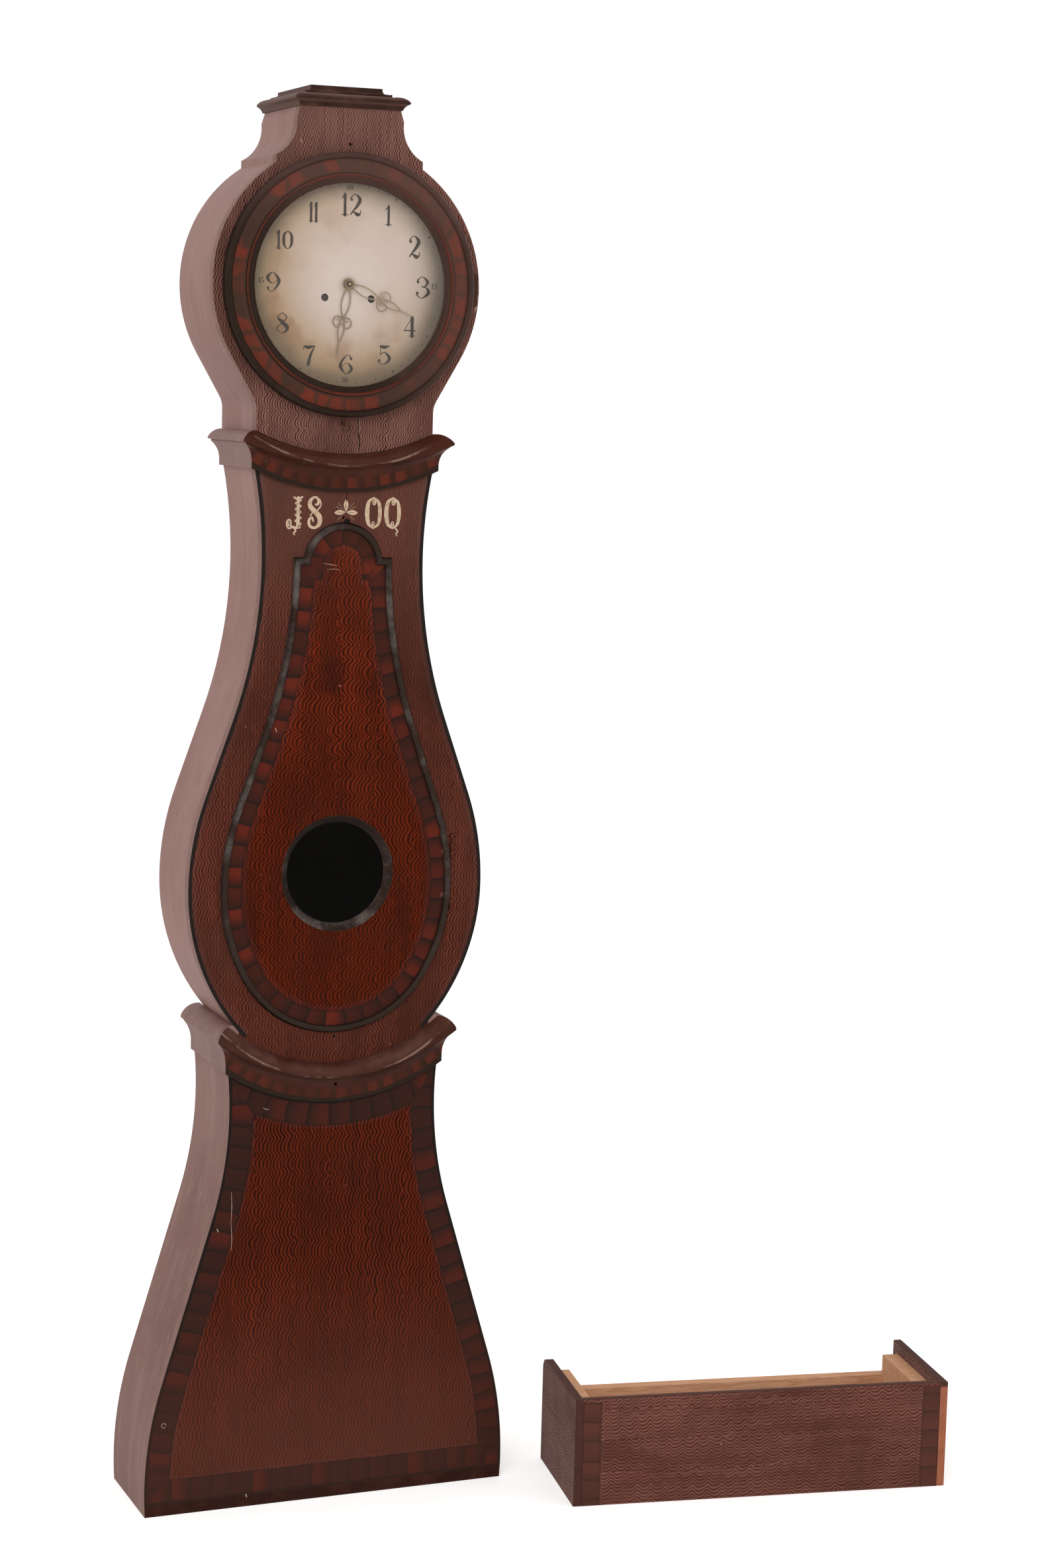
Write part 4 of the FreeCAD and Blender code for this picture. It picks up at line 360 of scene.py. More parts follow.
@dataclass(frozen=True)
class CombedPaint:
    """Two coats of oil paint, the upper one combed in wavy lines while wet.

    The sheen is a pale haze painted in for light glancing off the varnish; it grows from the first of its
    heights to the second. The light lines are darker towards deep_low and plain at deep_high. Above fine_from
    the waves are shorter. Right of raw_from the board's lower edge is bare.
    """

    name: str
    light: Colour
    dark: Colour
    shadow: Colour = paint(58, 32, 25)
    smoke: Colour = paint(80, 48, 38)
    # The colour of the painted sheen, the two heights between which it grows, and its largest share.
    painted_sheen: Colour = paint(110, 78, 70)
    sheen_low: float = 3.0
    sheen_high: float = 4.0
    sheen_most: float = 0.6
    pitch: float = 5.6 * MM
    wave: float = 27 * MM
    reach: float = 3.0 * MM
    stroke: float = 58 * MM
    lay: Lay = Lay.UPRIGHT
    rough: float = 0.42
    contrast: float = 1.0
    uneven: float = 1.0
    rightward: float = 0.0
    deep_low: float = -1.0
    deep_high: float = -0.5
    deep: float = 0.0
    fine_from: float = 9.0
    turn: float = 0.0
    chip: Colour = paint(176, 142, 122)
    edge: Colour = paint(140, 108, 100)
    raw: Colour = paint(140, 108, 100)
    raw_from: float = 9.0
    raw_below: float = 160 * MM

    def lines(self, shader: Shader) -> tuple[Wire, Wire]:
        """The combed lines, and broad streaks along the comb's way.

        Args:
            shader: the tree to build in.

        Returns:
            The line mask (one in the light line) and the streaks.
        """
        x, y, z = shader.place(self.turn)
        across, along = (x, z) if self.lay is Lay.UPRIGHT else (z, x)
        spot = shader.vector(across, along, y)
        slow, quick = shader.noise(spot, 7.0, 1.0), shader.noise(spot, 38.0, 1.0)
        number = ((across + (slow - 0.5) * (30 * MM)) / self.stroke).whole()
        luck = shader.chance(number + 3.7)
        fine = z.step(self.fine_from, self.fine_from + MM)
        phase = along * (1 + fine) / self.wave + luck * 0.45 + slow * 1.6 + across * 4.0
        depth = 0.25 + luck * 0.35 + quick * 0.9
        swing = phase.wave() + (phase * 2 + 0.2).wave() * 0.22
        moved = across + swing * depth * self.reach * (1 - fine * 0.45) + (quick - 0.5) * (3 * MM)
        teeth = shader.noise(shader.vector(moved, along * 0.02, number), 0.36 / self.pitch, 1.0)
        ridge = (moved / self.pitch + teeth * 0.9).zigzag()
        bristle = shader.noise(shader.vector(moved, along * 0.03, number), 2.1 / self.pitch, 1.0)
        hair = shader.noise(shader.vector(moved, along * 0.05, number), 6.0 / self.pitch, 2.0)
        line = (ridge * 0.72 + bristle * 0.6 + hair * 0.3 - 0.36).step(0.12, 0.72)
        streak = shader.noise(shader.vector(moved, along * 0.22, number * 0.6), 24.0, 2.0)
        return line, streak

    def colour(self, shader: Shader) -> tuple[Wire, Wire]:
        """The paint's colour and its line mask.

        Args:
            shader: the tree to build in.

        Returns:
            The colour and the mask.
        """
        x, y, z = shader.place()
        line, streak = self.lines(shader)
        spot = shader.vector(x, y, z)
        patch = shader.noise(spot, 6.0, 3.0, 0.6)
        # The light lines are darker towards deep_low, by the share deep, and plain at deep_high.
        height_tone = 1 - z.step(self.deep_high, self.deep_low) * self.deep
        lively = 1 + ((patch - 0.5) * 0.5 + (streak - 0.5) * 0.6) * self.uneven + x * self.rightward
        light = shader.shade(self.light, lively * height_tone)
        dark = shader.shade(self.dark, 0.7 + patch * 0.6 + x * self.rightward)
        field_colour = shader.mix(line * self.contrast, dark, light)
        gloom = (streak.step(0.52, 0.30) * 0.35 + patch.step(0.50, 0.32) * 0.4).at_most(0.75) * self.uneven
        field_colour = shader.mix(gloom, field_colour, self.shadow)
        smoke = shader.noise(shader.vector(x, y, z * 0.6), 11.0, 3.0, 0.6).step(0.48, 0.68)
        field_colour = shader.mix(smoke * 0.35 * self.uneven, field_colour, self.smoke)
        # Painted sheen: a pale haze that grows with height and stands in for light glancing off the varnish.
        sheen_share = z.step(self.sheen_low, self.sheen_high) * self.sheen_most * (0.75 + patch * 0.5)
        return shader.mix(sheen_share.at_most(0.85), field_colour, self.painted_sheen), line

    def make(self) -> bpy.types.Material:
        """The paint as a material.

        Returns:
            The new material.
        """
        shader = Shader(self.name)
        colour, line = self.colour(shader)
        x, y, z = shader.place()
        spot = shader.vector(x, y, z)
        chips = shader.noise(spot, 95.0, 2.0, 0.5).step(0.79, 0.80)
        colour = shader.mix(chips * 0.85, colour, self.chip)
        bare = x.step(self.raw_from, self.raw_from + 10 * MM) * z.step(self.raw_below, self.raw_below - 5 * MM)
        edge = shader.shade(shader.mix(bare, self.edge, self.raw), 0.75 + shader.noise(spot, 60.0, 3.0) * 0.5)
        colour = shader.mix(shader.frontness(self.turn), edge, colour)
        rough = self.rough + shader.noise(spot, 20.0, 3.0) * 0.18
        height = line * 0.6 + shader.noise(spot, 260.0, 2.0) * 0.3
        return shader.finish(Base_Color=colour, Roughness=rough, Specular_IOR_Level=0.06,
                             Specular_Tint=WARM_SHINE, Normal=shader.bump(height, 0.3 * MM, 0.5))


@dataclass(frozen=True)
class BlockBorder:
    """A painted border of shaded blocks between dark gaps, with a black edge outside it."""

    name: str
    under: CombedPaint
    pitch: float = 42 * MM
    end: float = 32 * MM
    edge: float = 4 * MM
    wander: float = 12 * MM
    blur: float = 1.5 * MM
    red: Colour = paint(84, 30, 18)
    dark: Colour = paint(48, 26, 20)
    black: Colour = paint(26, 18, 15)
    blaze: float = 0.8
    seed: float = 0.0

    def make(self) -> bpy.types.Material:
        """The border as a material that reads the strip's own lengths.

        Returns:
            The new material.
        """
        shader = Shader(self.name)
        field_colour, line = self.under.colour(shader)
        along, deep = shader.strip()
        x, y, z = shader.place()
        spot = shader.vector(x, y, z)
        hand = shader.noise(spot, 22.0, 3.0)
        brush = shader.noise(spot, 90.0, 3.0)
        number = (along + (hand - 0.5) * self.wander) / self.pitch
        luck = shader.chance(number.whole() + self.seed)
        inside = number.part()
        glow = inside.step(0.02, 0.12) * inside.step(1.0, 0.35)
        warm = (glow * (luck.step(0.25, 0.9) * self.blaze + 0.15) * (0.6 + brush * 0.8)).at_most(1.0)
        block = shader.mix(warm, self.dark, self.red)
        gap = 1 - inside.step(-0.02, 0.10) * inside.step(1.02, 0.90)
        block = shader.mix(gap * 0.7, block, self.black)
        wander = deep + (hand - 0.5) * (4 * MM) + (brush - 0.5) * (2 * MM)
        inner = wander.step(self.end - self.blur, self.end + self.blur)
        colour = shader.mix(inner, block, field_colour)
        line_edge = wander.step(self.end - 4 * MM, self.end - MM) * wander.step(self.end + 2 * MM, self.end)
        colour = shader.mix(line_edge * 0.45, colour, self.black)
        outer = wander.step(self.edge + self.blur, self.edge - 0.5 * MM)
        colour = shader.mix(outer, colour, self.black)
        # The combed paint's painted sheen, weaker over the blocks.
        sheen_share = z.step(self.under.sheen_low, self.under.sheen_high) * self.under.sheen_most * 0.4
        colour = shader.mix(sheen_share * (1 - inner), colour, self.under.painted_sheen)
        return shader.finish(Base_Color=colour, Roughness=0.4 + brush * 0.2, Specular_IOR_Level=0.08,
                             Normal=shader.bump(brush + line * inner * 0.5, 0.3 * MM, 0.5))


@dataclass(frozen=True)
class EdgeStripe:
    """A black painted stripe along the edge of a board, over the combed paint."""

    name: str
    under: CombedPaint
    edge: float = 5 * MM
    black: Colour = paint(28, 21, 18)

    def make(self) -> bpy.types.Material:
        """The stripe as a material that reads the strip's own lengths.

        Returns:
            The new material.
        """
        shader = Shader(self.name)
        field_colour, line = self.under.colour(shader)
        deep = shader.strip()[1]
        hand = shader.noise(shader.vector(*shader.place()), 30.0, 3.0)
        wander = deep + (hand - 0.5) * (3 * MM)
        colour = shader.mix(wander.step(self.edge + 1.5 * MM, self.edge - 0.5 * MM), field_colour, self.black)
        return shader.finish(Base_Color=colour, Roughness=0.4 + hand * 0.15, Specular_IOR_Level=0.1,
                             Normal=shader.bump(line + hand, 0.3 * MM, 0.4))


@dataclass(frozen=True)
class DustyPaint:
    """The flat paint of the sides: pinkish, chalky, brushed and scuffed."""

    name: str
    base: Colour = paint(146, 112, 105)
    deep: Colour = paint(120, 82, 74)
    pale: Colour = paint(174, 146, 139)
    scuffed: Colour = paint(92, 56, 48)
    chip: Colour = paint(215, 200, 190)
    rough: float = 0.55
    darker_below: float = 0.75
    darkest_at: float = 0.1

    def make(self) -> bpy.types.Material:
        """The paint as a material.

        Returns:
            The new material.
        """
        shader = Shader(self.name)
        x, y, z = shader.place()
        spot = shader.vector(x, y, z)
        brush = shader.noise(shader.vector(x, y, z * 0.12), 70.0, 4.0, 0.6)
        cloud = shader.noise(spot, 4.5, 4.0, 0.6)
        # Darker towards the floor.
        low = z.step(self.darker_below, self.darkest_at) * 0.35
        colour = shader.mix((cloud.step(0.35, 0.7) * 0.5 + low).at_most(1.0), self.base, self.deep)
        streak = shader.noise(shader.vector(x, y, z * 0.06), 34.0, 2.0, 0.5)
        colour = shader.mix(streak.step(0.48, 0.30) * 0.2, colour, self.deep)
        chalk = (brush.step(0.5, 0.75) * 0.3 + streak.step(0.55, 0.75) * 0.15).at_most(1.0)
        colour = shader.mix(chalk, colour, self.pale)
        scuff = shader.noise(spot, 60.0, 6.0, 0.8).step(0.70, 0.76)
        colour = shader.mix(scuff * 0.5, colour, self.scuffed)
        chips = shader.noise(spot, 110.0, 2.0, 0.6).step(0.80, 0.83)
        colour = shader.mix(chips * 0.7, colour, self.chip)
        return shader.finish(Base_Color=colour, Roughness=self.rough + brush * 0.15, Specular_IOR_Level=0.3,
                             Normal=shader.bump(brush + scuff * 0.5, 0.4 * MM, 0.5))


@dataclass(frozen=True)
class WornBlack:
    """Black paint on raised edges, grey in a band of height: rubbed by hands and dust, and painted sheen."""

    name: str
    black: Colour = paint(28, 20, 17)
    wear_and_sheen: Colour = paint(98, 88, 83)
    worn: Colour = paint(110, 62, 48)
    wear_and_sheen_share: float = 0.35
    rough: float = 0.34
    gloss: float = 0.22
    flank: float = 0.0
    sheen_from: float = -2.0
    sheen_full: float = -1.0

    def make(self) -> bpy.types.Material:
        """The paint as a material.

        Returns:
            The new material.
        """
        shader = Shader(self.name)
        x, y, z = shader.place()
        spot = shader.vector(x, y, z)
        cloud = shader.noise(spot, 16.0, 5.0, 0.65)
        fine = shader.noise(spot, 140.0, 3.0)
        # Wear and painted sheen: grey patches within a band of height.
        worn = cloud.step(0.42, 0.72) * z.step(self.sheen_from, self.sheen_full) * self.wear_and_sheen_share
        colour = shader.mix(worn, self.black, self.wear_and_sheen)
        colour = shader.mix(fine.step(0.68, 0.74) * 0.4, colour, self.worn)
        if self.flank:
            sideways = 1 - shader.frontness()
            colour = shader.mix(sideways * (0.5 + cloud * 0.6) * self.flank, colour, self.wear_and_sheen)
        return shader.finish(Base_Color=colour, Roughness=self.rough + cloud * 0.2,
                             Specular_IOR_Level=self.gloss, Specular_Tint=WARM_SHINE,
                             Normal=shader.bump(fine, 0.3 * MM, 0.5))


@dataclass(frozen=True)
class MouldingPaint:
    """Glossy brown paint on a curved moulding: red blocks low down and a black bottom edge."""

    name: str
    centre: float
    radius: float
    band: float = 20 * MM
    pitch: float = 26 * MM
    edge: float = 5.5 * MM
    base: Colour = paint(70, 32, 23)
    red: Colour = paint(92, 36, 25)
    dark: Colour = paint(44, 22, 17)
    # The paler colour of the top: dust, and painted sheen.
    top: Colour = paint(96, 58, 48)
    black: Colour = paint(30, 22, 19)
    scuffed: Colour = paint(140, 104, 92)
    glint: Colour = paint(168, 138, 126)
    wander: float = 10 * MM
    top_from: float = 34 * MM
    dust_and_sheen: float = 0.5
    blocks: float = 0.8

    def make(self) -> bpy.types.Material:
        """The paint as a material that reads the height over the moulding's lower edge.

        Returns:
            The new material.
        """
        shader = Shader(self.name)
        x, y, z = shader.place()
        spot = shader.vector(x, y, z)
        down = self.centre - z
        up = self.radius - (x * x + down * down).root()
        along = x.turn_to(down) * self.radius
        cloud = shader.noise(spot, 18.0, 4.0, 0.6)
        fine = shader.noise(spot, 110.0, 3.0)
        number = (along + (cloud - 0.5) * self.wander) / self.pitch
        inside, luck = number.part(), shader.chance(number.whole())
        height = up + (cloud - 0.5) * (6 * MM)
        low = height.step(self.band + 3 * MM, self.band - 3 * MM)
        glow = inside.step(0.05, 0.2) * inside.step(0.9, 0.5) * (0.3 + luck)
        block = shader.mix(glow.at_most(1.0), self.dark, self.red)
        colour = shader.mix(low * self.blocks, shader.mix(cloud.step(0.3, 0.75), self.base, self.dark), block)
        colour = shader.mix(height.step(self.edge + MM, self.edge - MM), colour, self.black)
        # Dust and painted sheen: the top of the moulding is paler, where light glances off it.
        dust_and_sheen = height.step(self.top_from, self.top_from + 14 * MM) * cloud.step(0.3, 0.7) * self.dust_and_sheen
        colour = shader.mix(dust_and_sheen, colour, self.top)
        scuff = fine.step(0.68, 0.74) * cloud.step(0.45, 0.6)
        colour = shader.mix(scuff * 0.35, colour, self.scuffed)
        # Painted highlight: a thin pale line along the top of the roll.
        ridge = (height - self.top_from - 4 * MM).absolute().step(2.2 * MM, 0.4 * MM)
        colour = shader.mix(ridge * cloud.step(0.45, 0.6) * 0.55, colour, self.glint)
        return shader.finish(Base_Color=colour, Roughness=0.27 + cloud * 0.2, Specular_IOR_Level=0.2,
                             Specular_Tint=WARM_SHINE, Normal=shader.bump(cloud + fine * 0.4, 0.6 * MM, 0.4))


@dataclass(frozen=True)
class BezelPaint:
    """Paint of the round bezel: black bead, blocked band, thin red bead and black steps."""

    name: str
    centre: float
    bead: float
    band: float
    thin: float
    blocks: int = 40
    red: Colour = paint(112, 46, 34)
    dark: Colour = paint(60, 44, 37)
    black: Colour = paint(34, 26, 22)
    wear_and_sheen: Colour = paint(82, 68, 62)
    bead_red: Colour = paint(98, 44, 32)
    bead_dark: Colour = paint(62, 34, 28)
    dust_and_light: Colour = paint(112, 82, 76)
    chip: Colour = paint(170, 140, 125)

    def make(self) -> bpy.types.Material:
        """The paint as a material that reads the radius and angle about the dial's centre.

        Returns:
            The new material.
        """
        shader = Shader(self.name)
        x, y, z = shader.place()
        spot = shader.vector(x, y, z)
        rise = z - self.centre
        radius = (x * x + rise * rise).root()
        angle = x.turn_to(rise) / math.tau + 0.5
        cloud = shader.noise(spot, 16.0, 3.0, 0.6)
        fine = shader.noise(spot, 130.0, 4.0, 0.65)
        moved = angle * self.blocks + (cloud - 0.5) * 2.4
        inside = moved.part()
        luck = shader.chance(moved.whole() + 0.5)
        patch = luck.step(0.35, 0.8) * 0.7 + cloud.step(0.4, 0.7) * 0.3
        warm = inside.step(-0.1, 0.4) * inside.step(1.05, 0.75) * patch
        edge = (radius + (fine - 0.5) * (4 * MM)).step(self.band + MM, self.band + 6 * MM)
        block = shader.mix((warm * edge * (0.5 + fine)).at_most(1.0), self.dark, self.red)
        wander = radius + (fine - 0.5) * (1.5 * MM)
        # Grey patches on the black: wear, and painted sheen.
        black = shader.mix(cloud.step(0.5, 0.8) * 0.35, self.black, self.wear_and_sheen)
        colour = shader.mix(wander.step(self.bead - MM, self.bead + MM), block, black)
        red_bead = wander.step(self.band + 0.5 * MM, self.band - 0.5 * MM)
        colour = shader.mix(red_bead, colour, shader.mix(cloud.step(0.3, 0.7), self.bead_red, self.bead_dark))
        groove = (radius - self.band).absolute().step(1.6 * MM, 0.6 * MM)
        inner = (wander.step(self.thin + 0.5 * MM, self.thin - 0.5 * MM) + groove * 0.8).at_most(1.0)
        colour = shader.mix(inner, colour, black)
        # Dust and painted light: paler towards the top and the right.
        right, top = x.step(20 * MM, 170 * MM), z.step(1.86, 1.97)
        dust_and_sheen = (right * 0.35 + top * 0.45).at_most(0.6) * (0.4 + cloud * 0.6)
        colour = shader.mix(dust_and_sheen, colour, self.dust_and_light)
        chips = fine.step(0.74, 0.77) * cloud.step(0.4, 0.6)
        colour = shader.mix(chips * 0.7, colour, self.chip)
        return shader.finish(Base_Color=colour, Roughness=0.34 + cloud * 0.2, Specular_IOR_Level=0.14,
                             Specular_Tint=WARM_SHINE, Normal=shader.bump(fine + cloud * 0.5, 0.4 * MM, 0.5))


@dataclass(frozen=True)
class AgedPine:
    """Bare pine with grain along one direction."""

    name: str
    light: Colour = paint(200, 152, 108)
    dark: Colour = paint(150, 98, 62)
    stained: Colour = paint(104, 66, 46)
    turn: float = 0.0
    upright: bool = False

    def make(self) -> bpy.types.Material:
        """The wood as a material.

        Returns:
            The new material.
        """
        shader = Shader(self.name)
        x, y, z = shader.place(self.turn)
        stretch = (4.0, 4.0, 0.16) if self.upright else (0.5, 6.0, 6.0)
        grain = shader.noise(shader.vector(*(part * by for part, by in zip((x, y, z), stretch))), 9.0, 5.0, 0.6)
        rings = (grain * 9.0).zigzag().step(0.2, 0.9)
        cloud = shader.noise(shader.vector(x, y, z), 7.0, 4.0, 0.6)
        colour = shader.mix(rings * 0.55 + cloud * 0.35, self.light, self.dark)
        colour = shader.mix(cloud.step(0.62, 0.8) * 0.4, colour, self.stained)
        return shader.finish(Base_Color=colour, Roughness=0.7 + grain * 0.15, Specular_IOR_Level=0.25,
                             Normal=shader.bump(rings, 0.4 * MM, 0.5))


@dataclass(frozen=True)
class DialPaint:
    """Cream paint on sheet iron, stained yellow and grey towards the edge, with a painted reflection at the
    right.
    """

    name: str
    cream: Colour = paint(223, 206, 196)
    stain: Colour = paint(178, 142, 96)
    grey: Colour = paint(106, 90, 66)
    rust: Colour = paint(152, 110, 74)
    # The grey of the painted reflection at the right edge.
    smoke: Colour = paint(96, 91, 90)
    speck: Colour = paint(84, 66, 50)
    crazing: Colour = paint(120, 100, 80)
    rubbed_hub: Colour = paint(150, 128, 104)
    centre: float = DIAL_HEIGHT

    def make(self) -> bpy.types.Material:
        """The dial's paint as a material.

        Returns:
            The new material.
        """
        shader = Shader(self.name)
        x, _, z = shader.place()
        rise = z - self.centre
        radius = (x * x + rise * rise).root()
        spot = shader.vector(x, 0.0, z)
        cloud = shader.noise(spot, 7.0, 4.0, 0.55)
        fine = shader.noise(spot, 45.0, 5.0, 0.7)
        left = (0.5 - x * 2.6 - rise * 2.4).at_least(0.0).at_most(1.0)
        yellow = radius.step(0.02, 0.12) * left * 1.1 + cloud.step(0.5, 0.75) * 0.35
        yellow = (yellow + radius.step(0.09, 0.14) * 0.25).at_most(1.0)
        blot = shader.noise(shader.vector(x, 0.3, z), 13.0, 3.0, 0.55).step(0.50, 0.68)
        brown = (blot * left * radius.step(0.04, 0.10)).at_most(1.0)
        colour = shader.mix(yellow * 0.85, self.cream, self.stain)
        colour = shader.mix(brown * 0.8, colour, self.rust)
        rim = radius.step(0.108, 0.146) * (0.35 + cloud * 0.9)
        low = (0.35 - rise * 3.2 - x * 1.4).at_least(0.0).at_most(1.0) * radius.step(0.06, 0.14)
        colour = shader.mix((rim + low * cloud * 0.8).at_most(0.8), colour, self.grey)
        # Painted reflection: a grey band at the right edge, where the glass mirrors something dark.
        smoke = (x * 14.0 - 1.15).at_least(0.0).at_most(1.0) * cloud.step(0.2, 0.6)
        colour = shader.mix(smoke * 0.55, colour, self.smoke)
        specks = fine.step(0.66, 0.74) * (0.12 + radius.step(0.09, 0.14) * 0.5)
        colour = shader.mix(specks, colour, self.speck)
        craze = shader.noise(spot, 22.0, 6.0, 0.7)
        line = 1 - ((craze - 0.5).absolute() * 60.0).at_most(1.0)
        colour = shader.mix(line * 0.08, colour, self.crazing)
        colour = shader.mix(radius.step(0.018, 0.005) * 0.5, colour, self.rubbed_hub)
        return shader.finish(Base_Color=colour, Roughness=0.45 + fine * 0.2, Specular_IOR_Level=0.1,
                             Normal=shader.bump(fine, 0.2 * MM, 0.4))


@dataclass(frozen=True)
class FadedInk:
    """Brush-painted marks, worn thin in places."""

    name: str
    ink: Colour = paint(52, 42, 37)
    worn: Colour = paint(104, 90, 78)
    wear: float = 0.5

    def make(self) -> bpy.types.Material:
        """The marks' paint as a material.

        Returns:
            The new material.
        """
        shader = Shader(self.name)
        spot = shader.vector(*shader.place())
        fine, cloud = shader.noise(spot, 190.0, 3.0, 0.6), shader.noise(spot, 30.0, 2.0)
        colour = shader.mix((fine * 0.6 + cloud * 0.4).step(0.45, 0.75) * self.wear, self.ink, self.worn)
        return shader.finish(Base_Color=colour, Roughness=0.5 + cloud * 0.1, Specular_IOR_Level=0.08,
                             Alpha=fine.step(0.9, 0.7))


@dataclass(frozen=True)
class Metal:
    """Bare metal: brass, bell metal, steel or iron, more or less tarnished."""

    name: str
    bright: Colour
    dull: Colour
    rough: float = 0.35
    tarnish: float = 0.5
    metallic: float = 1.0

    def make(self) -> bpy.types.Material:
        """The metal as a material.

        Returns:
            The new material.
        """
        shader = Shader(self.name)
        spot = shader.vector(*shader.place())
        cloud, fine = shader.noise(spot, 26.0, 5.0, 0.65), shader.noise(spot, 300.0, 2.0)
        aged = cloud.step(0.3, 0.8) * self.tarnish
        colour = shader.mix(aged, self.bright, self.dull)
        return shader.finish(Base_Color=colour, Metallic=self.metallic - aged * 0.3,
                             Roughness=self.rough + aged * 0.35 + fine * 0.08,
                             Normal=shader.bump(fine, 0.2 * MM, 0.3))


@dataclass(frozen=True)
class OldGlass:
    """Thin glass that mirrors a little, more at a slant, and can be made an opaque dark sheet of painted shade.
    """

    name: str
    painted_shade: float = 0.0
    smear: float = 0.03
    shine: float = 0.8
    straight_on: float = 0.04
    tone: Colour = (1.0, 0.94, 0.87)

    def make(self) -> bpy.types.Material:
        """The glass as a material.

        Returns:
            The new material.
        """
        shader = Shader(self.name)
        smear = shader.noise(shader.vector(*shader.place()), 9.0, 4.0).step(0.4, 0.8) * self.smear
        slant = shader.add("ShaderNodeLayerWeight", {}, {"Blend": 0.5}, "Facing")
        square = slant * slant
        mirror = (square * square * slant * (1 - self.straight_on) + self.straight_on + smear).at_most(1.0)
        # At full share the glass is opaque and dark: painted shade for the dark inside behind it.
        alpha = mirror + (1 - mirror) * self.painted_shade
        share = mirror / alpha.at_least(0.001) * self.shine
        return shader.finish(Base_Color=shader.vector(*(share * part for part in self.tone)), Metallic=1.0,
                             Roughness=0.04, Alpha=alpha)


@dataclass(frozen=True)
class DrumMetal:
    """Brass that turns about the dark steel end of an arbor."""

    name: str
    middle: Point
    arbor: float = 4.2 * MM
    bright: Colour = paint(190, 152, 88)
    dull: Colour = paint(122, 88, 48)
    steel: Colour = paint(52, 46, 44)

    def make(self) -> bpy.types.Material:
        """The finish as a material that reads the distance from the arbor's middle.

        Returns:
            The new material.
        """
        shader = Shader(self.name)
        x, y, z = shader.place()
        away, rise = x - self.middle[0], z - self.middle[1]
        radius = (away * away + rise * rise).root()
        cloud = shader.noise(shader.vector(x, y, z), 26.0, 5.0, 0.65)
        brass = shader.mix(cloud.step(0.3, 0.8) * 0.6, self.bright, self.dull)
        inner = radius.step(self.arbor + 0.4 * MM, self.arbor - 0.4 * MM)
        return shader.finish(Base_Color=shader.mix(inner, brass, self.steel), Metallic=1.0,
                             Roughness=0.35 + cloud * 0.2)


@dataclass(frozen=True)
class Cord:
    """Twisted gut line."""

    name: str
    base: Colour = paint(150, 122, 84)

    def make(self) -> bpy.types.Material:
        """The line as a material.

        Returns:
            The new material.
        """
        shader = Shader(self.name)
        x, y, z = shader.place()
        twist = ((z + x * 0.7 + y * 0.7) * 420.0).zigzag()
        colour = shader.shade(self.base, 0.6 + twist * 0.5)
        return shader.finish(Base_Color=colour, Roughness=0.6 + twist * 0.1,
                             Normal=shader.bump(twist, 0.3 * MM))


def arc(centre: Point, radius: float, first: float, last: float, step: float = 5 * MM) -> list[Point]:
    """Points along a circle.

    Args:
        centre: the circle's centre.
        radius: its radius.
        first: the angle to start from, in radians.
        last: the angle to end at.
        step: the distance between points.

    Returns:
        The points, both ends included.
    """
    count = max(2, math.ceil(abs(last - first) * radius / step))
    angles = (first + (last - first) * i / count for i in range(count + 1))
    return [(centre[0] + radius * math.cos(angle), centre[1] + radius * math.sin(angle)) for angle in angles]


def lean(lower: Point, lower_radius: float, upper: Point, upper_radius: float) -> float:
    """The angle of both radii where one straight line touches the two circles between them."""
    away = (upper[0] - lower[0], upper[1] - lower[1])
    return math.atan2(away[1], away[0]) - math.acos((lower_radius + upper_radius) / math.hypot(*away))


def mirrored(points: Sequence[Point]) -> list[Point]:
    """The same points on the other side of the middle, in the other order."""
    return [(-x, z) for x, z in reversed(points)]


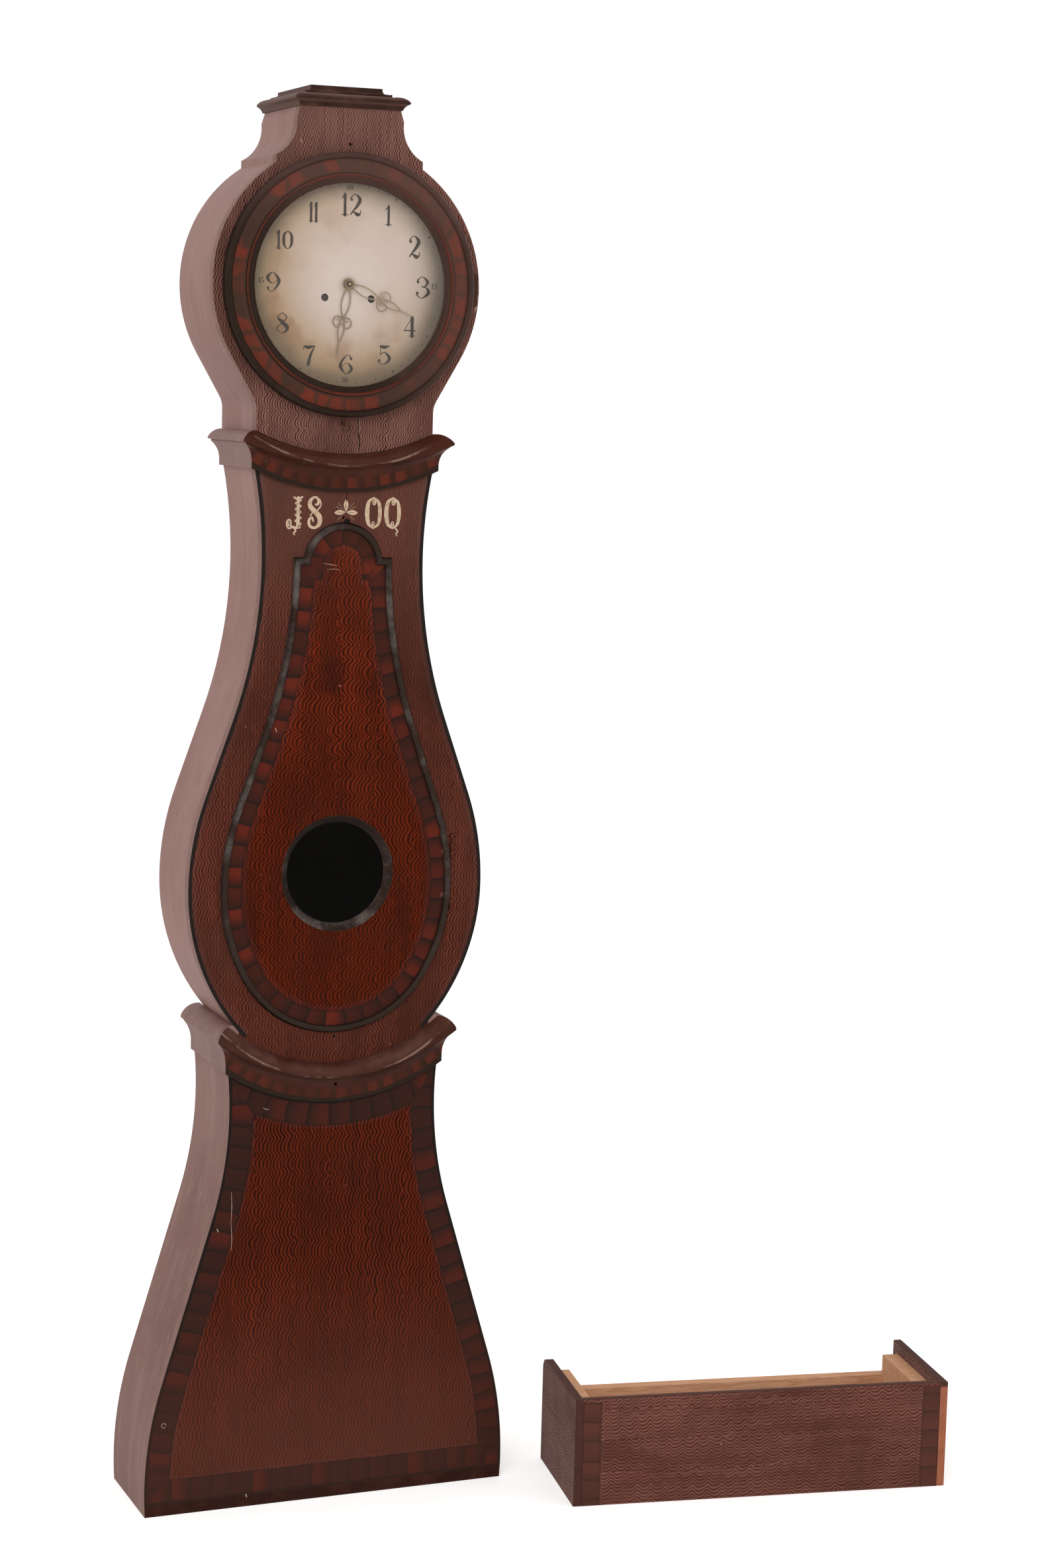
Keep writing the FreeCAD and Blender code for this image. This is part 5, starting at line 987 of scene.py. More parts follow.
@dataclass(frozen=True)
class CaseOutline:
    """The front outline of the case, as arcs and the straight lines between them."""

    foot: Point = (0.282, 0.035)
    foot_radius: float = 0.560
    base_waist: Point = (0.1597, 0.605)
    base_waist_radius: float = 0.565
    base_top: float = 0.661
    belly: Point = (0.226, 0.930)
    belly_low_radius: float = 0.315
    belly_high_radius: float = 0.400
    waist: Point = (0.1229, 1.408)
    waist_radius: float = 0.690
    door_margin: float = 0.049
    door_bottom: float = 0.714
    door_shoulder: float = 1.411
    door_arch: Point = (0.0, 1.402)
    door_arch_radius: float = 0.0596

    def base_side(self, low: float) -> list[Point]:
        """The right side of the base, from a height up.

        Args:
            low: the height to start from.

        Returns:
            The points, up to the lower moulding.
        """
        foot = (self.foot[0] - self.foot_radius, self.foot[1])
        waist = (self.base_waist[0] + self.base_waist_radius, self.base_waist[1])
        angle = lean(foot, self.foot_radius, waist, self.base_waist_radius)
        floor = math.asin((low - foot[1]) / self.foot_radius)
        top = math.pi - math.asin((self.base_top - waist[1]) / self.base_waist_radius)
        return (arc(foot, self.foot_radius, floor, angle)
                + arc(waist, self.base_waist_radius, math.pi + angle, top))

    def trunk_side(self, inset: float, low: float, high: float) -> list[Point]:
        """The right side of the trunk between two heights, moved inwards by an inset.

        Args:
            inset: how far inside the case's edge.
            low: the height to start from.
            high: the height to end at.

        Returns:
            The points, from the bottom up.
        """
        bulge_low = (self.belly[0] - self.belly_low_radius, self.belly[1])
        bulge_high = (self.belly[0] - self.belly_high_radius, self.belly[1])
        hollow = (self.waist[0] + self.waist_radius, self.waist[1])
        low_radius = self.belly_low_radius - inset
        high_radius = self.belly_high_radius - inset
        hollow_radius = self.waist_radius + inset
        angle = lean(bulge_high, high_radius, hollow, hollow_radius)
        start = math.asin(max(-1.0, (low - bulge_low[1]) / low_radius))
        end = math.pi - math.asin((high - hollow[1]) / hollow_radius)
        return (arc(bulge_low, low_radius, start, 0.0) + arc(bulge_high, high_radius, 0.0, angle)[1:]
                + arc(hollow, hollow_radius, math.pi + angle, end))

    def door(self, inset: float) -> list[list[Point]]:
        """The door's outline moved inwards by an inset, as smooth runs, anticlockwise.

        Args:
            inset: how far inside the door's edge.

        Returns:
            The runs, each starting where the last one ends.
        """
        bulge = (self.belly[0] - self.belly_low_radius, self.belly[1])
        reach = self.belly_low_radius - self.door_margin + self.door_bottom
        centre = (0.0, (reach**2 - bulge[0] ** 2 - bulge[1] ** 2) / (2 * (reach - bulge[1])))
        touch = math.atan2(centre[1] - bulge[1], centre[0] - bulge[0])
        low_radius = self.belly_low_radius - self.door_margin - inset
        meet = (bulge[0] + low_radius * math.cos(touch), bulge[1] + low_radius * math.sin(touch))
        bearing = math.atan2(meet[1] - centre[1], meet[0] - centre[0])
        sweep = arc(centre, centre[1] - self.door_bottom - inset, -math.pi / 2, bearing)
        shoulder = self.door_shoulder - inset
        side = sweep + self.trunk_side(self.door_margin + inset, meet[1], shoulder)[1:]
        arch_radius = self.door_arch_radius - inset
        rise = math.asin((shoulder - self.door_arch[1]) / arch_radius)
        arch = arc(self.door_arch, arch_radius, rise, math.pi - rise)
        step = [side[-1], arch[0]]
        return [mirrored(side)[:-1] + side, step, arch, mirrored(step)]


@dataclass(frozen=True)
class MouldingLine:
    """The arc that a front moulding's lower edge follows, from mitre to mitre."""

    half: float
    middle: float
    end: float

    @property
    def radius(self) -> float:
        """The arc's radius."""
        rise = self.end - self.middle
        return (self.half**2 + rise**2) / (2 * rise)

    @property
    def centre(self) -> float:
        """The height of the arc's centre."""
        return self.middle + self.radius

    def points(self) -> list[Point]:
        """The edge from its right end to its left end."""
        swing = math.asin(self.half / self.radius)
        return arc((0.0, self.centre), self.radius, -math.pi / 2 + swing, -math.pi / 2 - swing)


UPPER_LINE = MouldingLine(0.1358, 1.507, 1.539)
LOWER_LINE = MouldingLine(0.1625, 0.610, 0.661)


@dataclass
class Drawing:
    """Faces gathered for one thin painted piece or one modelled piece."""

    vertices: list[Place] = field(default_factory=list)
    faces: list[tuple[int, ...]] = field(default_factory=list)
    lengths: list[Point] = field(default_factory=list)

    def strip(self, outer: Sequence[Place], inner: Sequence[Place], reach: Sequence[float],
              width: float) -> None:
        """A run of faces between two lines of points, with its lengths kept for the paint.

        Args:
            outer: the points of the outer line.
            inner: the points of the inner line, as many.
            reach: the length along the strip at each pair of points.
            width: the strip's width.
        """
        start = len(self.vertices)
        for near, far, along in zip(outer, inner, reach):
            self.vertices += [near, far]
            self.lengths += [(along, 0.0), (along, width)]
        for i in range(len(outer) - 1):
            a = start + 2 * i
            self.faces.append((a, a + 2, a + 3, a + 1))

    def skin(self, start: int, rings: int, sides: int, capped: Sequence[int]) -> None:
        """Joins rings of points that are already there into a closed skin.

        Args:
            start: the number of the first ring's first point.
            rings: how many rings there are.
            sides: how many points each ring has.
            capped: the numbers of the rings that a flat face closes.
        """
        for ring in range(rings - 1):
            for i in range(sides):
                a, b = start + ring * sides + i, start + ring * sides + (i + 1) % sides
                self.faces.append((a, b, b + sides, a + sides))
        for ring in capped:
            self.faces.append(tuple(start + ring * sides + i for i in range(sides)))

    def piece(self, name: str, body: str, slot: str, material: bpy.types.Material,
              smooth: bool = False) -> bpy.types.Object:
        """Makes the piece, in place, with its finish.

        Args:
            name: the piece's name.
            body: the body that it rides on; empty for none.
            slot: the record's material slot; not used.
            material: its finish.
            smooth: whether it is shaded smooth.

        Returns:
            The new object.
        """
        mesh = bpy.data.meshes.new(name)
        mesh.from_pydata(self.vertices, [], self.faces)
        if self.lengths:
            layer = mesh.uv_layers.new(name="strip")
            for loop in mesh.loops:
                layer.data[loop.index].uv = self.lengths[loop.vertex_index]
        mesh.materials.append(material)
        mesh.polygons.foreach_set("use_smooth", [smooth] * len(mesh.polygons))
        thing = bpy.data.objects.new(name, mesh)
        bpy.context.scene.collection.objects.link(thing)
        if body:
            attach(thing, body)
        log.info("piece %s: %d faces", name, len(self.faces))
        return thing


def on_front(proud: float) -> Where:
    """Puts a flat point on the case's front, this far in front of it."""
    return lambda x, z: (x, FRONT_Y - proud, z)


def clipped(face: Face, point: Point, along: Point, keep: float) -> Face:
    """A flat face cut along a line.

    Args:
        face: its corners as x, z, length and depth.
        point: a point on the cutting line.
        along: the line's direction.
        keep: the side to keep, one or minus one.

    Returns:
        The corners of what is left.
    """
    def side(spot: tuple[float, ...]) -> float:
        """How far a corner lies on the kept side; below nothing on the other one."""
        return keep * (along[0] * (spot[1] - point[1]) - along[1] * (spot[0] - point[0]))

    made = []
    for first, last in zip(face, face[1:] + face[:1]):
        a, b = side(first), side(last)
        if a >= 0:
            made.append(first)
        if a * b < 0:
            share = a / (a - b)
            made.append(tuple(p + (q - p) * share for p, q in zip(first, last)))
    return made


def heading(start: Point, end: Point) -> Point:
    """The direction from one point to the next."""
    long = math.dist(start, end)
    return ((end[0] - start[0]) / long, (end[1] - start[1]) / long)


NEAR = 0.05 * MM
"""Points of an outline that lie nearer than this are one."""

CUT_REACH = 3
"""A mitre cuts faces up to this many widths of the border away."""


def border(runs: Sequence[Sequence[Point]], width: float, closed: bool, where: Where) -> Drawing:
    """A painted border on the left of smooth runs that meet at corners.

    Args:
        runs: the smooth runs that the border follows, end to end.
        width: the border's width.
        closed: whether the last run ends where the first starts.
        where: puts a flat point on the surface.

    Returns:
        The drawing of the border.
    """
    drawing, along = Drawing(), 0.0
    for number, run in enumerate(runs):
        line = [run[0]]
        line += [point for before, point in zip(run, run[1:]) if math.dist(before, point) > NEAR]
        first, last = heading(line[0], line[1]), heading(line[-2], line[-1])
        cuts = []
        if number or closed:
            came = heading(runs[number - 1][-2], runs[number - 1][-1])
            cuts.append((line[0], (-came[1] - first[1], came[0] + first[0]), -1.0))
            line.insert(0, (line[0][0] - first[0] * width, line[0][1] - first[1] * width))
            along -= width
        if number < len(runs) - 1 or closed:
            goes = heading(*runs[(number + 1) % len(runs)][:2])
            cuts.append((line[-1], (-last[1] - goes[1], last[0] + goes[0]), 1.0))
            line.append((line[-1][0] + last[0] * width, line[-1][1] + last[1] * width))
        inner, reach = [], []
        for i, point in enumerate(line):
            before, after = line[max(0, i - 1)], line[min(len(line) - 1, i + 1)]
            way = heading(before, after)
            inner.append((point[0] - way[1] * width, point[1] + way[0] * width))
            along += math.dist(before, point)
            reach.append(along)
        for i in range(len(line) - 1):
            face = [(*line[i], reach[i], 0.0), (*line[i + 1], reach[i + 1], 0.0),
                    (*inner[i + 1], reach[i + 1], width), (*inner[i], reach[i], width)]
            for point, way, keep in cuts:
                near = min(math.dist(point, end) for end in line[i:i + 2]) < CUT_REACH * width
                face = clipped(face, point, way, keep) if near and len(face) > 2 else face
            if len(face) > 2:
                base = len(drawing.vertices)
                drawing.vertices += [where(x, z) for x, z, u, v in face]
                drawing.lengths += [(u, v) for x, z, u, v in face]
                drawing.faces.append(tuple(range(base, base + len(face))))
        if cuts and cuts[-1][2] > 0:
            along -= width
    return drawing


Stroke = tuple[Place, ...]
"""Points of a line drawn with a brush: x, z and the line's width there."""

Shape = tuple[float, tuple[Stroke, ...]]
"""A figure's width over its height, and its strokes in a box of one by one."""

THIN, FINE, FULL, FAT = 0.035, 0.06, 0.13, 0.17
"""Widths of a stroke over the figure's height."""

DIGITS: dict[str, Shape] = {
    "0": (0.80, (((0.5, 1.0, THIN), (0.16, 0.80, FULL), (0.10, 0.5, FAT), (0.16, 0.20, FULL), (0.5, 0.0, THIN),
                  (0.84, 0.20, FULL), (0.90, 0.5, FAT), (0.84, 0.80, FULL), (0.5, 1.0, THIN)),)),
    "1": (0.45, (((0.5, 0.0, FULL), (0.5, 0.98, FULL)),
                 ((0.05, 0.80, THIN), (0.25, 0.86, FINE), (0.5, 0.98, FULL)),
                 ((0.05, 0.02, THIN), (0.95, 0.02, THIN)))),
    "2": (0.72, (((0.14, 0.74, FULL), (0.10, 0.84, FINE), (0.45, 1.0, THIN), (0.86, 0.76, FAT),
                  (0.62, 0.45, FULL), (0.10, 0.10, THIN), (0.06, 0.02, THIN)),
                 ((0.08, 0.08, FINE), (0.32, 0.16, FINE), (0.66, 0.05, FAT), (0.90, 0.10, FINE),
                  (0.94, 0.26, THIN)))),
    "3": (0.72, (((0.14, 0.76, FULL), (0.12, 0.86, FINE), (0.45, 1.0, THIN), (0.80, 0.78, FULL),
                  (0.66, 0.58, FINE), (0.40, 0.53, THIN)),
                 ((0.40, 0.53, THIN), (0.70, 0.50, FINE), (0.88, 0.26, FAT), (0.45, 0.0, THIN),
                  (0.10, 0.12, FINE), (0.10, 0.24, FULL)))),
    "4": (0.80, (((0.66, 1.0, THIN), (0.04, 0.30, THIN)), ((0.02, 0.30, FINE), (0.98, 0.30, FINE)),
                 ((0.70, 1.0, FAT), (0.70, 0.0, FAT)), ((0.45, 0.02, THIN), (0.95, 0.02, THIN)))),
    "5": (0.72, (((0.20, 0.95, FULL), (0.50, 0.92, FAT), (0.86, 0.98, THIN)),
                 ((0.20, 0.95, THIN), (0.17, 0.50, THIN)),
                 ((0.17, 0.52, THIN), (0.50, 0.64, FINE), (0.88, 0.32, FAT), (0.45, 0.0, THIN),
                  (0.08, 0.12, FINE), (0.10, 0.22, FULL)))),
    "6": (0.76, (((0.84, 0.80, FULL), (0.80, 0.90, FINE), (0.55, 1.0, THIN), (0.14, 0.62, FULL),
                  (0.10, 0.35, FAT), (0.50, 0.0, THIN), (0.88, 0.28, FAT), (0.55, 0.58, THIN),
                  (0.20, 0.42, THIN)),)),
    "7": (0.74, (((0.06, 0.76, THIN), (0.10, 0.96, FINE), (0.40, 0.90, FAT), (0.94, 0.98, THIN)),
                 ((0.94, 0.98, THIN), (0.60, 0.50, FULL), (0.42, 0.0, FAT)))),
    "8": (0.76, (((0.5, 1.0, THIN), (0.17, 0.78, FINE), (0.46, 0.56, FAT), (0.86, 0.26, FAT), (0.5, 0.0, THIN),
                  (0.10, 0.24, FINE), (0.48, 0.50, THIN), (0.80, 0.78, FINE), (0.5, 1.0, THIN)),)),
    "9": (0.76, (((0.16, 0.20, FULL), (0.20, 0.10, FINE), (0.45, 0.0, THIN), (0.86, 0.38, FULL),
                  (0.90, 0.65, FAT), (0.50, 1.0, THIN), (0.12, 0.72, FAT), (0.45, 0.42, THIN),
                  (0.80, 0.58, THIN)),)),
}


def coil(x: float, z: float, reach: float, first: float, sweep: float, width: float) -> Stroke:
    """A curl that winds inwards.

    Args:
        x: the curl's middle.
        z: its height.
        reach: its widest radius.
        first: the angle where it starts, in degrees.
        sweep: how far it winds, in degrees, minus for clockwise.
        width: the stroke's width at the start.

    Returns:
        The stroke.
    """
    steps, closing, thinning = 18, 0.82, 0.35
    made = []
    for i in range(steps + 1):
        share = i / steps
        turn = math.radians(first + sweep * share)
        out = reach * (1 - closing * share)
        made.append((x + out * math.cos(turn), z + out * math.sin(turn), width * (1 - thinning * share)))
    return tuple(made)


LOOPS = tuple((0.66 + 0.17 * math.sin(math.tau * i / 8), 0.94 - 0.86 * i / 36, 0.045) for i in range(37))
"""The thin line that winds down the stem of the curled one."""

FOLK_DIGITS: dict[str, Shape] = {
    "1": (0.86, (((0.66, 0.98, 0.10), (0.66, 0.06, 0.13)), LOOPS,
                 ((0.42, 0.99, FINE), (0.62, 0.94, 0.09), (0.90, 1.0, FINE)),
                 ((0.74, 0.02, 0.10), (0.50, 0.0, 0.09), (0.30, 0.04, 0.08)),
                 coil(0.16, 0.14, 0.17, -60, -560, 0.07),
                 ((0.44, -0.02, 0.05), (0.54, -0.10, 0.06), (0.42, -0.18, 0.05), (0.48, -0.24, 0.03)))),
    "8": (0.74, (((0.54, 0.76, 0.06), (0.70, 0.78, 0.10), (0.72, 0.93, 0.10), (0.46, 1.0, 0.08),
                  (0.18, 0.86, 0.14), (0.22, 0.68, 0.17), (0.54, 0.52, 0.18), (0.82, 0.34, 0.19),
                  (0.80, 0.12, 0.15), (0.50, 0.0, 0.09), (0.18, 0.06, 0.11), (0.12, 0.24, 0.10),
                  (0.30, 0.34, 0.08), (0.40, 0.22, 0.06)),
                 ((0.82, 0.92, 0.05), (0.90, 0.74, 0.06), (0.66, 0.56, 0.05)),
                 ((0.20, 0.40, 0.05), (0.40, 0.52, 0.05)))),
    "0": (0.78, (((0.54, 1.0, 0.05), (0.20, 0.86, 0.13), (0.10, 0.5, 0.17), (0.20, 0.14, 0.13),
                  (0.52, 0.0, 0.05)),
                 ((0.46, 1.0, 0.05), (0.80, 0.86, 0.11), (0.90, 0.5, 0.15), (0.80, 0.14, 0.11),
                  (0.46, 0.0, 0.05)),
                 coil(0.52, 0.86, 0.13, 120, -520, 0.06), coil(0.50, 0.13, 0.12, -60, -500, 0.05))),
    "tail": (0.4, (((0.2, 0.0, 0.05), (0.5, -0.10, 0.06), (0.3, -0.18, 0.05), (0.42, -0.25, 0.03)),)),
}


def smooth(points: Stroke, steps: int = 7) -> list[Place]:
    """Points of a smooth line through a stroke's own points; two points stay straight.

    Args:
        points: the stroke's points.
        steps: how many points are made for each of them.

    Returns:
        The points of the smooth line.
    """
    if len(points) < 3:
        return list(points)
    made = []
    for i in range(len(points) - 1):
        before, start = points[max(0, i - 1)], points[i]
        end, after = points[i + 1], points[min(len(points) - 1, i + 2)]
        for k in range(steps):
            t = k / steps
            made.append(tuple(0.5 * (2 * b + (c - a) * t + (2 * a - 5 * b + 4 * c - d) * t**2
                                     + (3 * b - a - 3 * c + d) * t**3)
                              for a, b, c, d in zip(before, start, end, after)))
    return [*made, points[-1]]


@dataclass
class Brush:
    """Draws strokes and dots on the front of a flat surface that lies at a depth.

    Each stroke is a coat of its own, and rises by a share of a coat from its start to its end.
    """

    depth: float
    drawing: Drawing = field(default_factory=Drawing)
    coat: float = 0.012 * MM
    rise: float = 0.6
    layers: int = 8
    coats: int = 0

    def level(self) -> float:
        """The depth of the next stroke, so that no two that cross lie in one plane."""
        self.coats += 1
        return self.depth - self.coats % self.layers * self.coat

    def stroke(self, points: Sequence[Place]) -> None:
        """A line of changing width, with rounded ends.

        Args:
            points: x, z and the line's width at each point.
        """
        outer, inner, level = [], [], self.level()
        for i, (x, z, width) in enumerate(points):
            before, after = points[max(0, i - 1)], points[min(len(points) - 1, i + 1)]
            away = (after[0] - before[0], after[1] - before[1])
            size = math.hypot(*away) or 1.0
            side = (-away[1] / size * width / 2, away[0] / size * width / 2)
            deep = level - self.coat * self.rise * i / len(points)
            outer.append((x - side[0], deep, z - side[1]))
            inner.append((x + side[0], deep, z + side[1]))
        self.drawing.strip(outer, inner, [0.0] * len(outer), 0.0)
        for x, z, width in (points[0], points[-1]):
            self.dot(x, z, width / 2)

    def dot(self, x: float, z: float, radius: float, sides: int = 12) -> None:
        """A round dot.

        Args:
            x: its place across.
            z: its height.
            radius: its radius.
            sides: how many corners it is drawn with.
        """
        start, level = len(self.drawing.vertices), self.level()
        for i in range(sides):
            turn = math.tau * i / sides
            self.drawing.vertices.append((x + radius * math.cos(turn), level, z + radius * math.sin(turn)))
            self.drawing.lengths.append((0.0, 0.0))
        self.drawing.faces.append(tuple(range(start, start + sides)))

    def words(self, digits: Sequence[str], centre: Point, width: float, height: float, gap: float = 0.14,
              weight: float = 1.0, shapes: Optional[dict[str, Shape]] = None) -> None:
        """Figures drawn in a box.

        Args:
            digits: the names of the figures.
            centre: the middle of the box.
            width: the box's width.
            height: the box's height.
            gap: the space between figures, as a share of the height.
            weight: makes all strokes bolder.
            shapes: the shapes of the figures, the dial's own where none are given.
        """
        shapes = shapes or DIGITS
        total = sum(shapes[digit][0] for digit in digits) + gap * (len(digits) - 1)
        across = centre[0] - width / 2
        for digit in digits:
            wide, strokes = shapes[digit]
            cell = wide / total * width
            for points in strokes:
                self.stroke([(across + x * cell, centre[1] + (z - 0.5) * height, thick * height * weight)
                             for x, z, thick in smooth(points)])
            across += (wide + gap) / total * width


RED_FIELD = CombedPaint("door_paint", light=paint(122, 42, 18), dark=paint(42, 13, 7),
                        shadow=paint(46, 18, 12), smoke=paint(60, 27, 18), contrast=0.9,
                        pitch=6.2 * MM, reach=4.6 * MM,
                        deep_low=0.95, deep_high=1.30, deep=0.32,
                        painted_sheen=paint(98, 58, 46), sheen_low=1.2, sheen_high=1.6, sheen_most=0.3)
TRUNK_FIELD = CombedPaint("trunk_paint", light=paint(116, 58, 44), dark=paint(54, 28, 22), contrast=0.75,
                          pitch=5.0 * MM, wave=24 * MM, reach=3.2 * MM,
                          painted_sheen=paint(104, 72, 63), sheen_low=1.2, sheen_high=1.62, sheen_most=0.6)
BASE_FIELD = CombedPaint("base_paint", light=paint(106, 39, 20), dark=paint(34, 11, 7),
                         shadow=paint(44, 19, 13), smoke=paint(58, 28, 20), reach=2.8 * MM, uneven=0.45,
                         deep_low=0.46, deep_high=0.12, deep=0.13,
                         painted_sheen=paint(98, 60, 50), sheen_low=0.40, sheen_high=0.04, sheen_most=0.55)
HOOD_FIELD = CombedPaint("hood_paint", light=paint(144, 102, 92), dark=paint(64, 37, 31),
                         shadow=paint(74, 46, 39), uneven=0.7, pitch=3.9 * MM, wave=20 * MM,
                         reach=2.8 * MM, fine_from=1.90,
                         rightward=0.9, deep_low=2.0, deep_high=1.88, deep=0.13,
                         painted_sheen=paint(124, 94, 86), sheen_low=1.94, sheen_high=2.07, sheen_most=0.25)
PLINTH_TURN = math.radians(9.45)
"""How far the plinth stands turned about Z."""

PLINTH_FIELD = CombedPaint("plinth_paint", light=paint(134, 92, 82), dark=paint(84, 42, 33),
                           shadow=paint(76, 42, 36), lay=Lay.LEVEL, pitch=5.4 * MM, wave=22 * MM,
                           reach=3.4 * MM, stroke=48 * MM, turn=PLINTH_TURN, rough=0.48, contrast=0.8,
                           edge=paint(86, 56, 49))


def coat(frame: Frame, material: bpy.types.Material, *names: str) -> None:
    """Gives solids of the frame a finish.

    Args:
        material: the finish.
        names: the solids' nodes.
    """
    for name in names:
        mesh = frame["nodes"][name].data
        mesh.materials.clear()
        mesh.materials.append(material)
        log.info("coat %s: %s", name, material.name)


@dataclass(frozen=True)
class Wear:
    """Open cracks, or pale chips and scratches, in the paint of one body's front.

    Each stroke gives x and its width in millimetres and its height in metres.
    """

    name: str
    body: str
    strokes: tuple[Stroke, ...]
    pale: bool = False
    proud: float = 0.3 * MM
    dark_tone: tuple[Colour, Colour] = (paint(16, 11, 9), paint(60, 38, 30))
    pale_tone: tuple[Colour, Colour] = (paint(186, 156, 140), paint(140, 104, 90))

    def build(self) -> None:
        """Draws the marks on the board."""
        ink, worn = self.pale_tone if self.pale else self.dark_tone
        brush = Brush(FRONT_Y - self.proud)
        for points in self.strokes:
            brush.stroke([(x * MM, z, width * MM) for x, z, width in points])
        brush.drawing.piece(self.name, self.body, "red_paint",
                            FadedInk(self.name + "_tone", ink=ink, worn=worn, wear=0.8).make())


RING_MARK = tuple((-253.5 + 3.4 * math.cos(0.5 * i), 0.138 + 0.0034 * math.sin(0.5 * i), 0.8)
                  for i in range(12))
"""The pale ring near the foot, of 3.4 mm radius."""


@dataclass
class SubAssembly:
    """A part of the clock, with solids to paint and pieces of its own to add."""

    def dress(self, frame: Frame) -> None:
        """Gives the solids their finishes; a part without solids leaves it so."""

    def build(self) -> None:
        """Adds the part's own pieces; a part that is all solids leaves it so."""


@dataclass
class Base(SubAssembly):
    """The flared foot of the case."""

    outline: CaseOutline
    border_width: float = 42 * MM
    foot_band: float = 17 * MM
    overlap: float = 0.5 * MM
    proud: float = COAT_PROUD
    chips: Wear = Wear("base_chips", "case", (
        ((-155.0, 0.482, 0.5), (-154.0, 0.460, 0.9), (-155.0, 0.438, 0.4), (-153.5, 0.414, 0.8),
         (-154.0, 0.394, 0.4)),
        ((-176.0, 0.428, 1.8), (-174.0, 0.424, 1.1)),
        ((-126.0, 0.018, 2.0), (-124.5, 0.014, 1.2)),
        ((-108.0, 0.606, 0.5), (-104.0, 0.603, 0.9), (-99.0, 0.6035, 0.5)), RING_MARK), pale=True)

    def dress(self, frame: Frame) -> None:
        """Paints the base.
        """
        coat(frame, BASE_FIELD.make(), "base_front_board")
        side = DustyPaint("base_side_paint", base=paint(142, 105, 97), deep=paint(112, 74, 66))
        coat(frame, side.make(), "base_sides")
        coat(frame, AgedPine("floor_board_pine").make(), "base_bottom_board")

    def build(self) -> None:
        """Adds the blocked border round the front, the dark band along the floor and the chips."""
        band = WornBlack("foot_band_paint", black=paint(52, 29, 24), wear_and_sheen=paint(78, 46, 38), wear_and_sheen_share=0.7,
                         gloss=0.06)
        half = self.outline.base_side(0.0)[0][0]
        border([[(-half, 0.0), (half, 0.0)]], self.foot_band + self.overlap, False,
               on_front(self.proud / 2)).piece("base_foot_band", "case", "red_paint", band.make())
        side = self.outline.base_side(self.foot_band)
        floor = [(-side[0][0], side[0][1]), side[0]]
        loop = [side, LOWER_LINE.points(), mirrored(side), floor]
        blocks = BlockBorder("base_border_paint", BASE_FIELD, pitch=31 * MM, end=37 * MM,
                             red=paint(78, 31, 21), seed=3.0)
        border(loop, self.border_width, True, on_front(self.proud)).piece(
            "base_border", "case", "red_paint", blocks.make())
        self.chips.build()


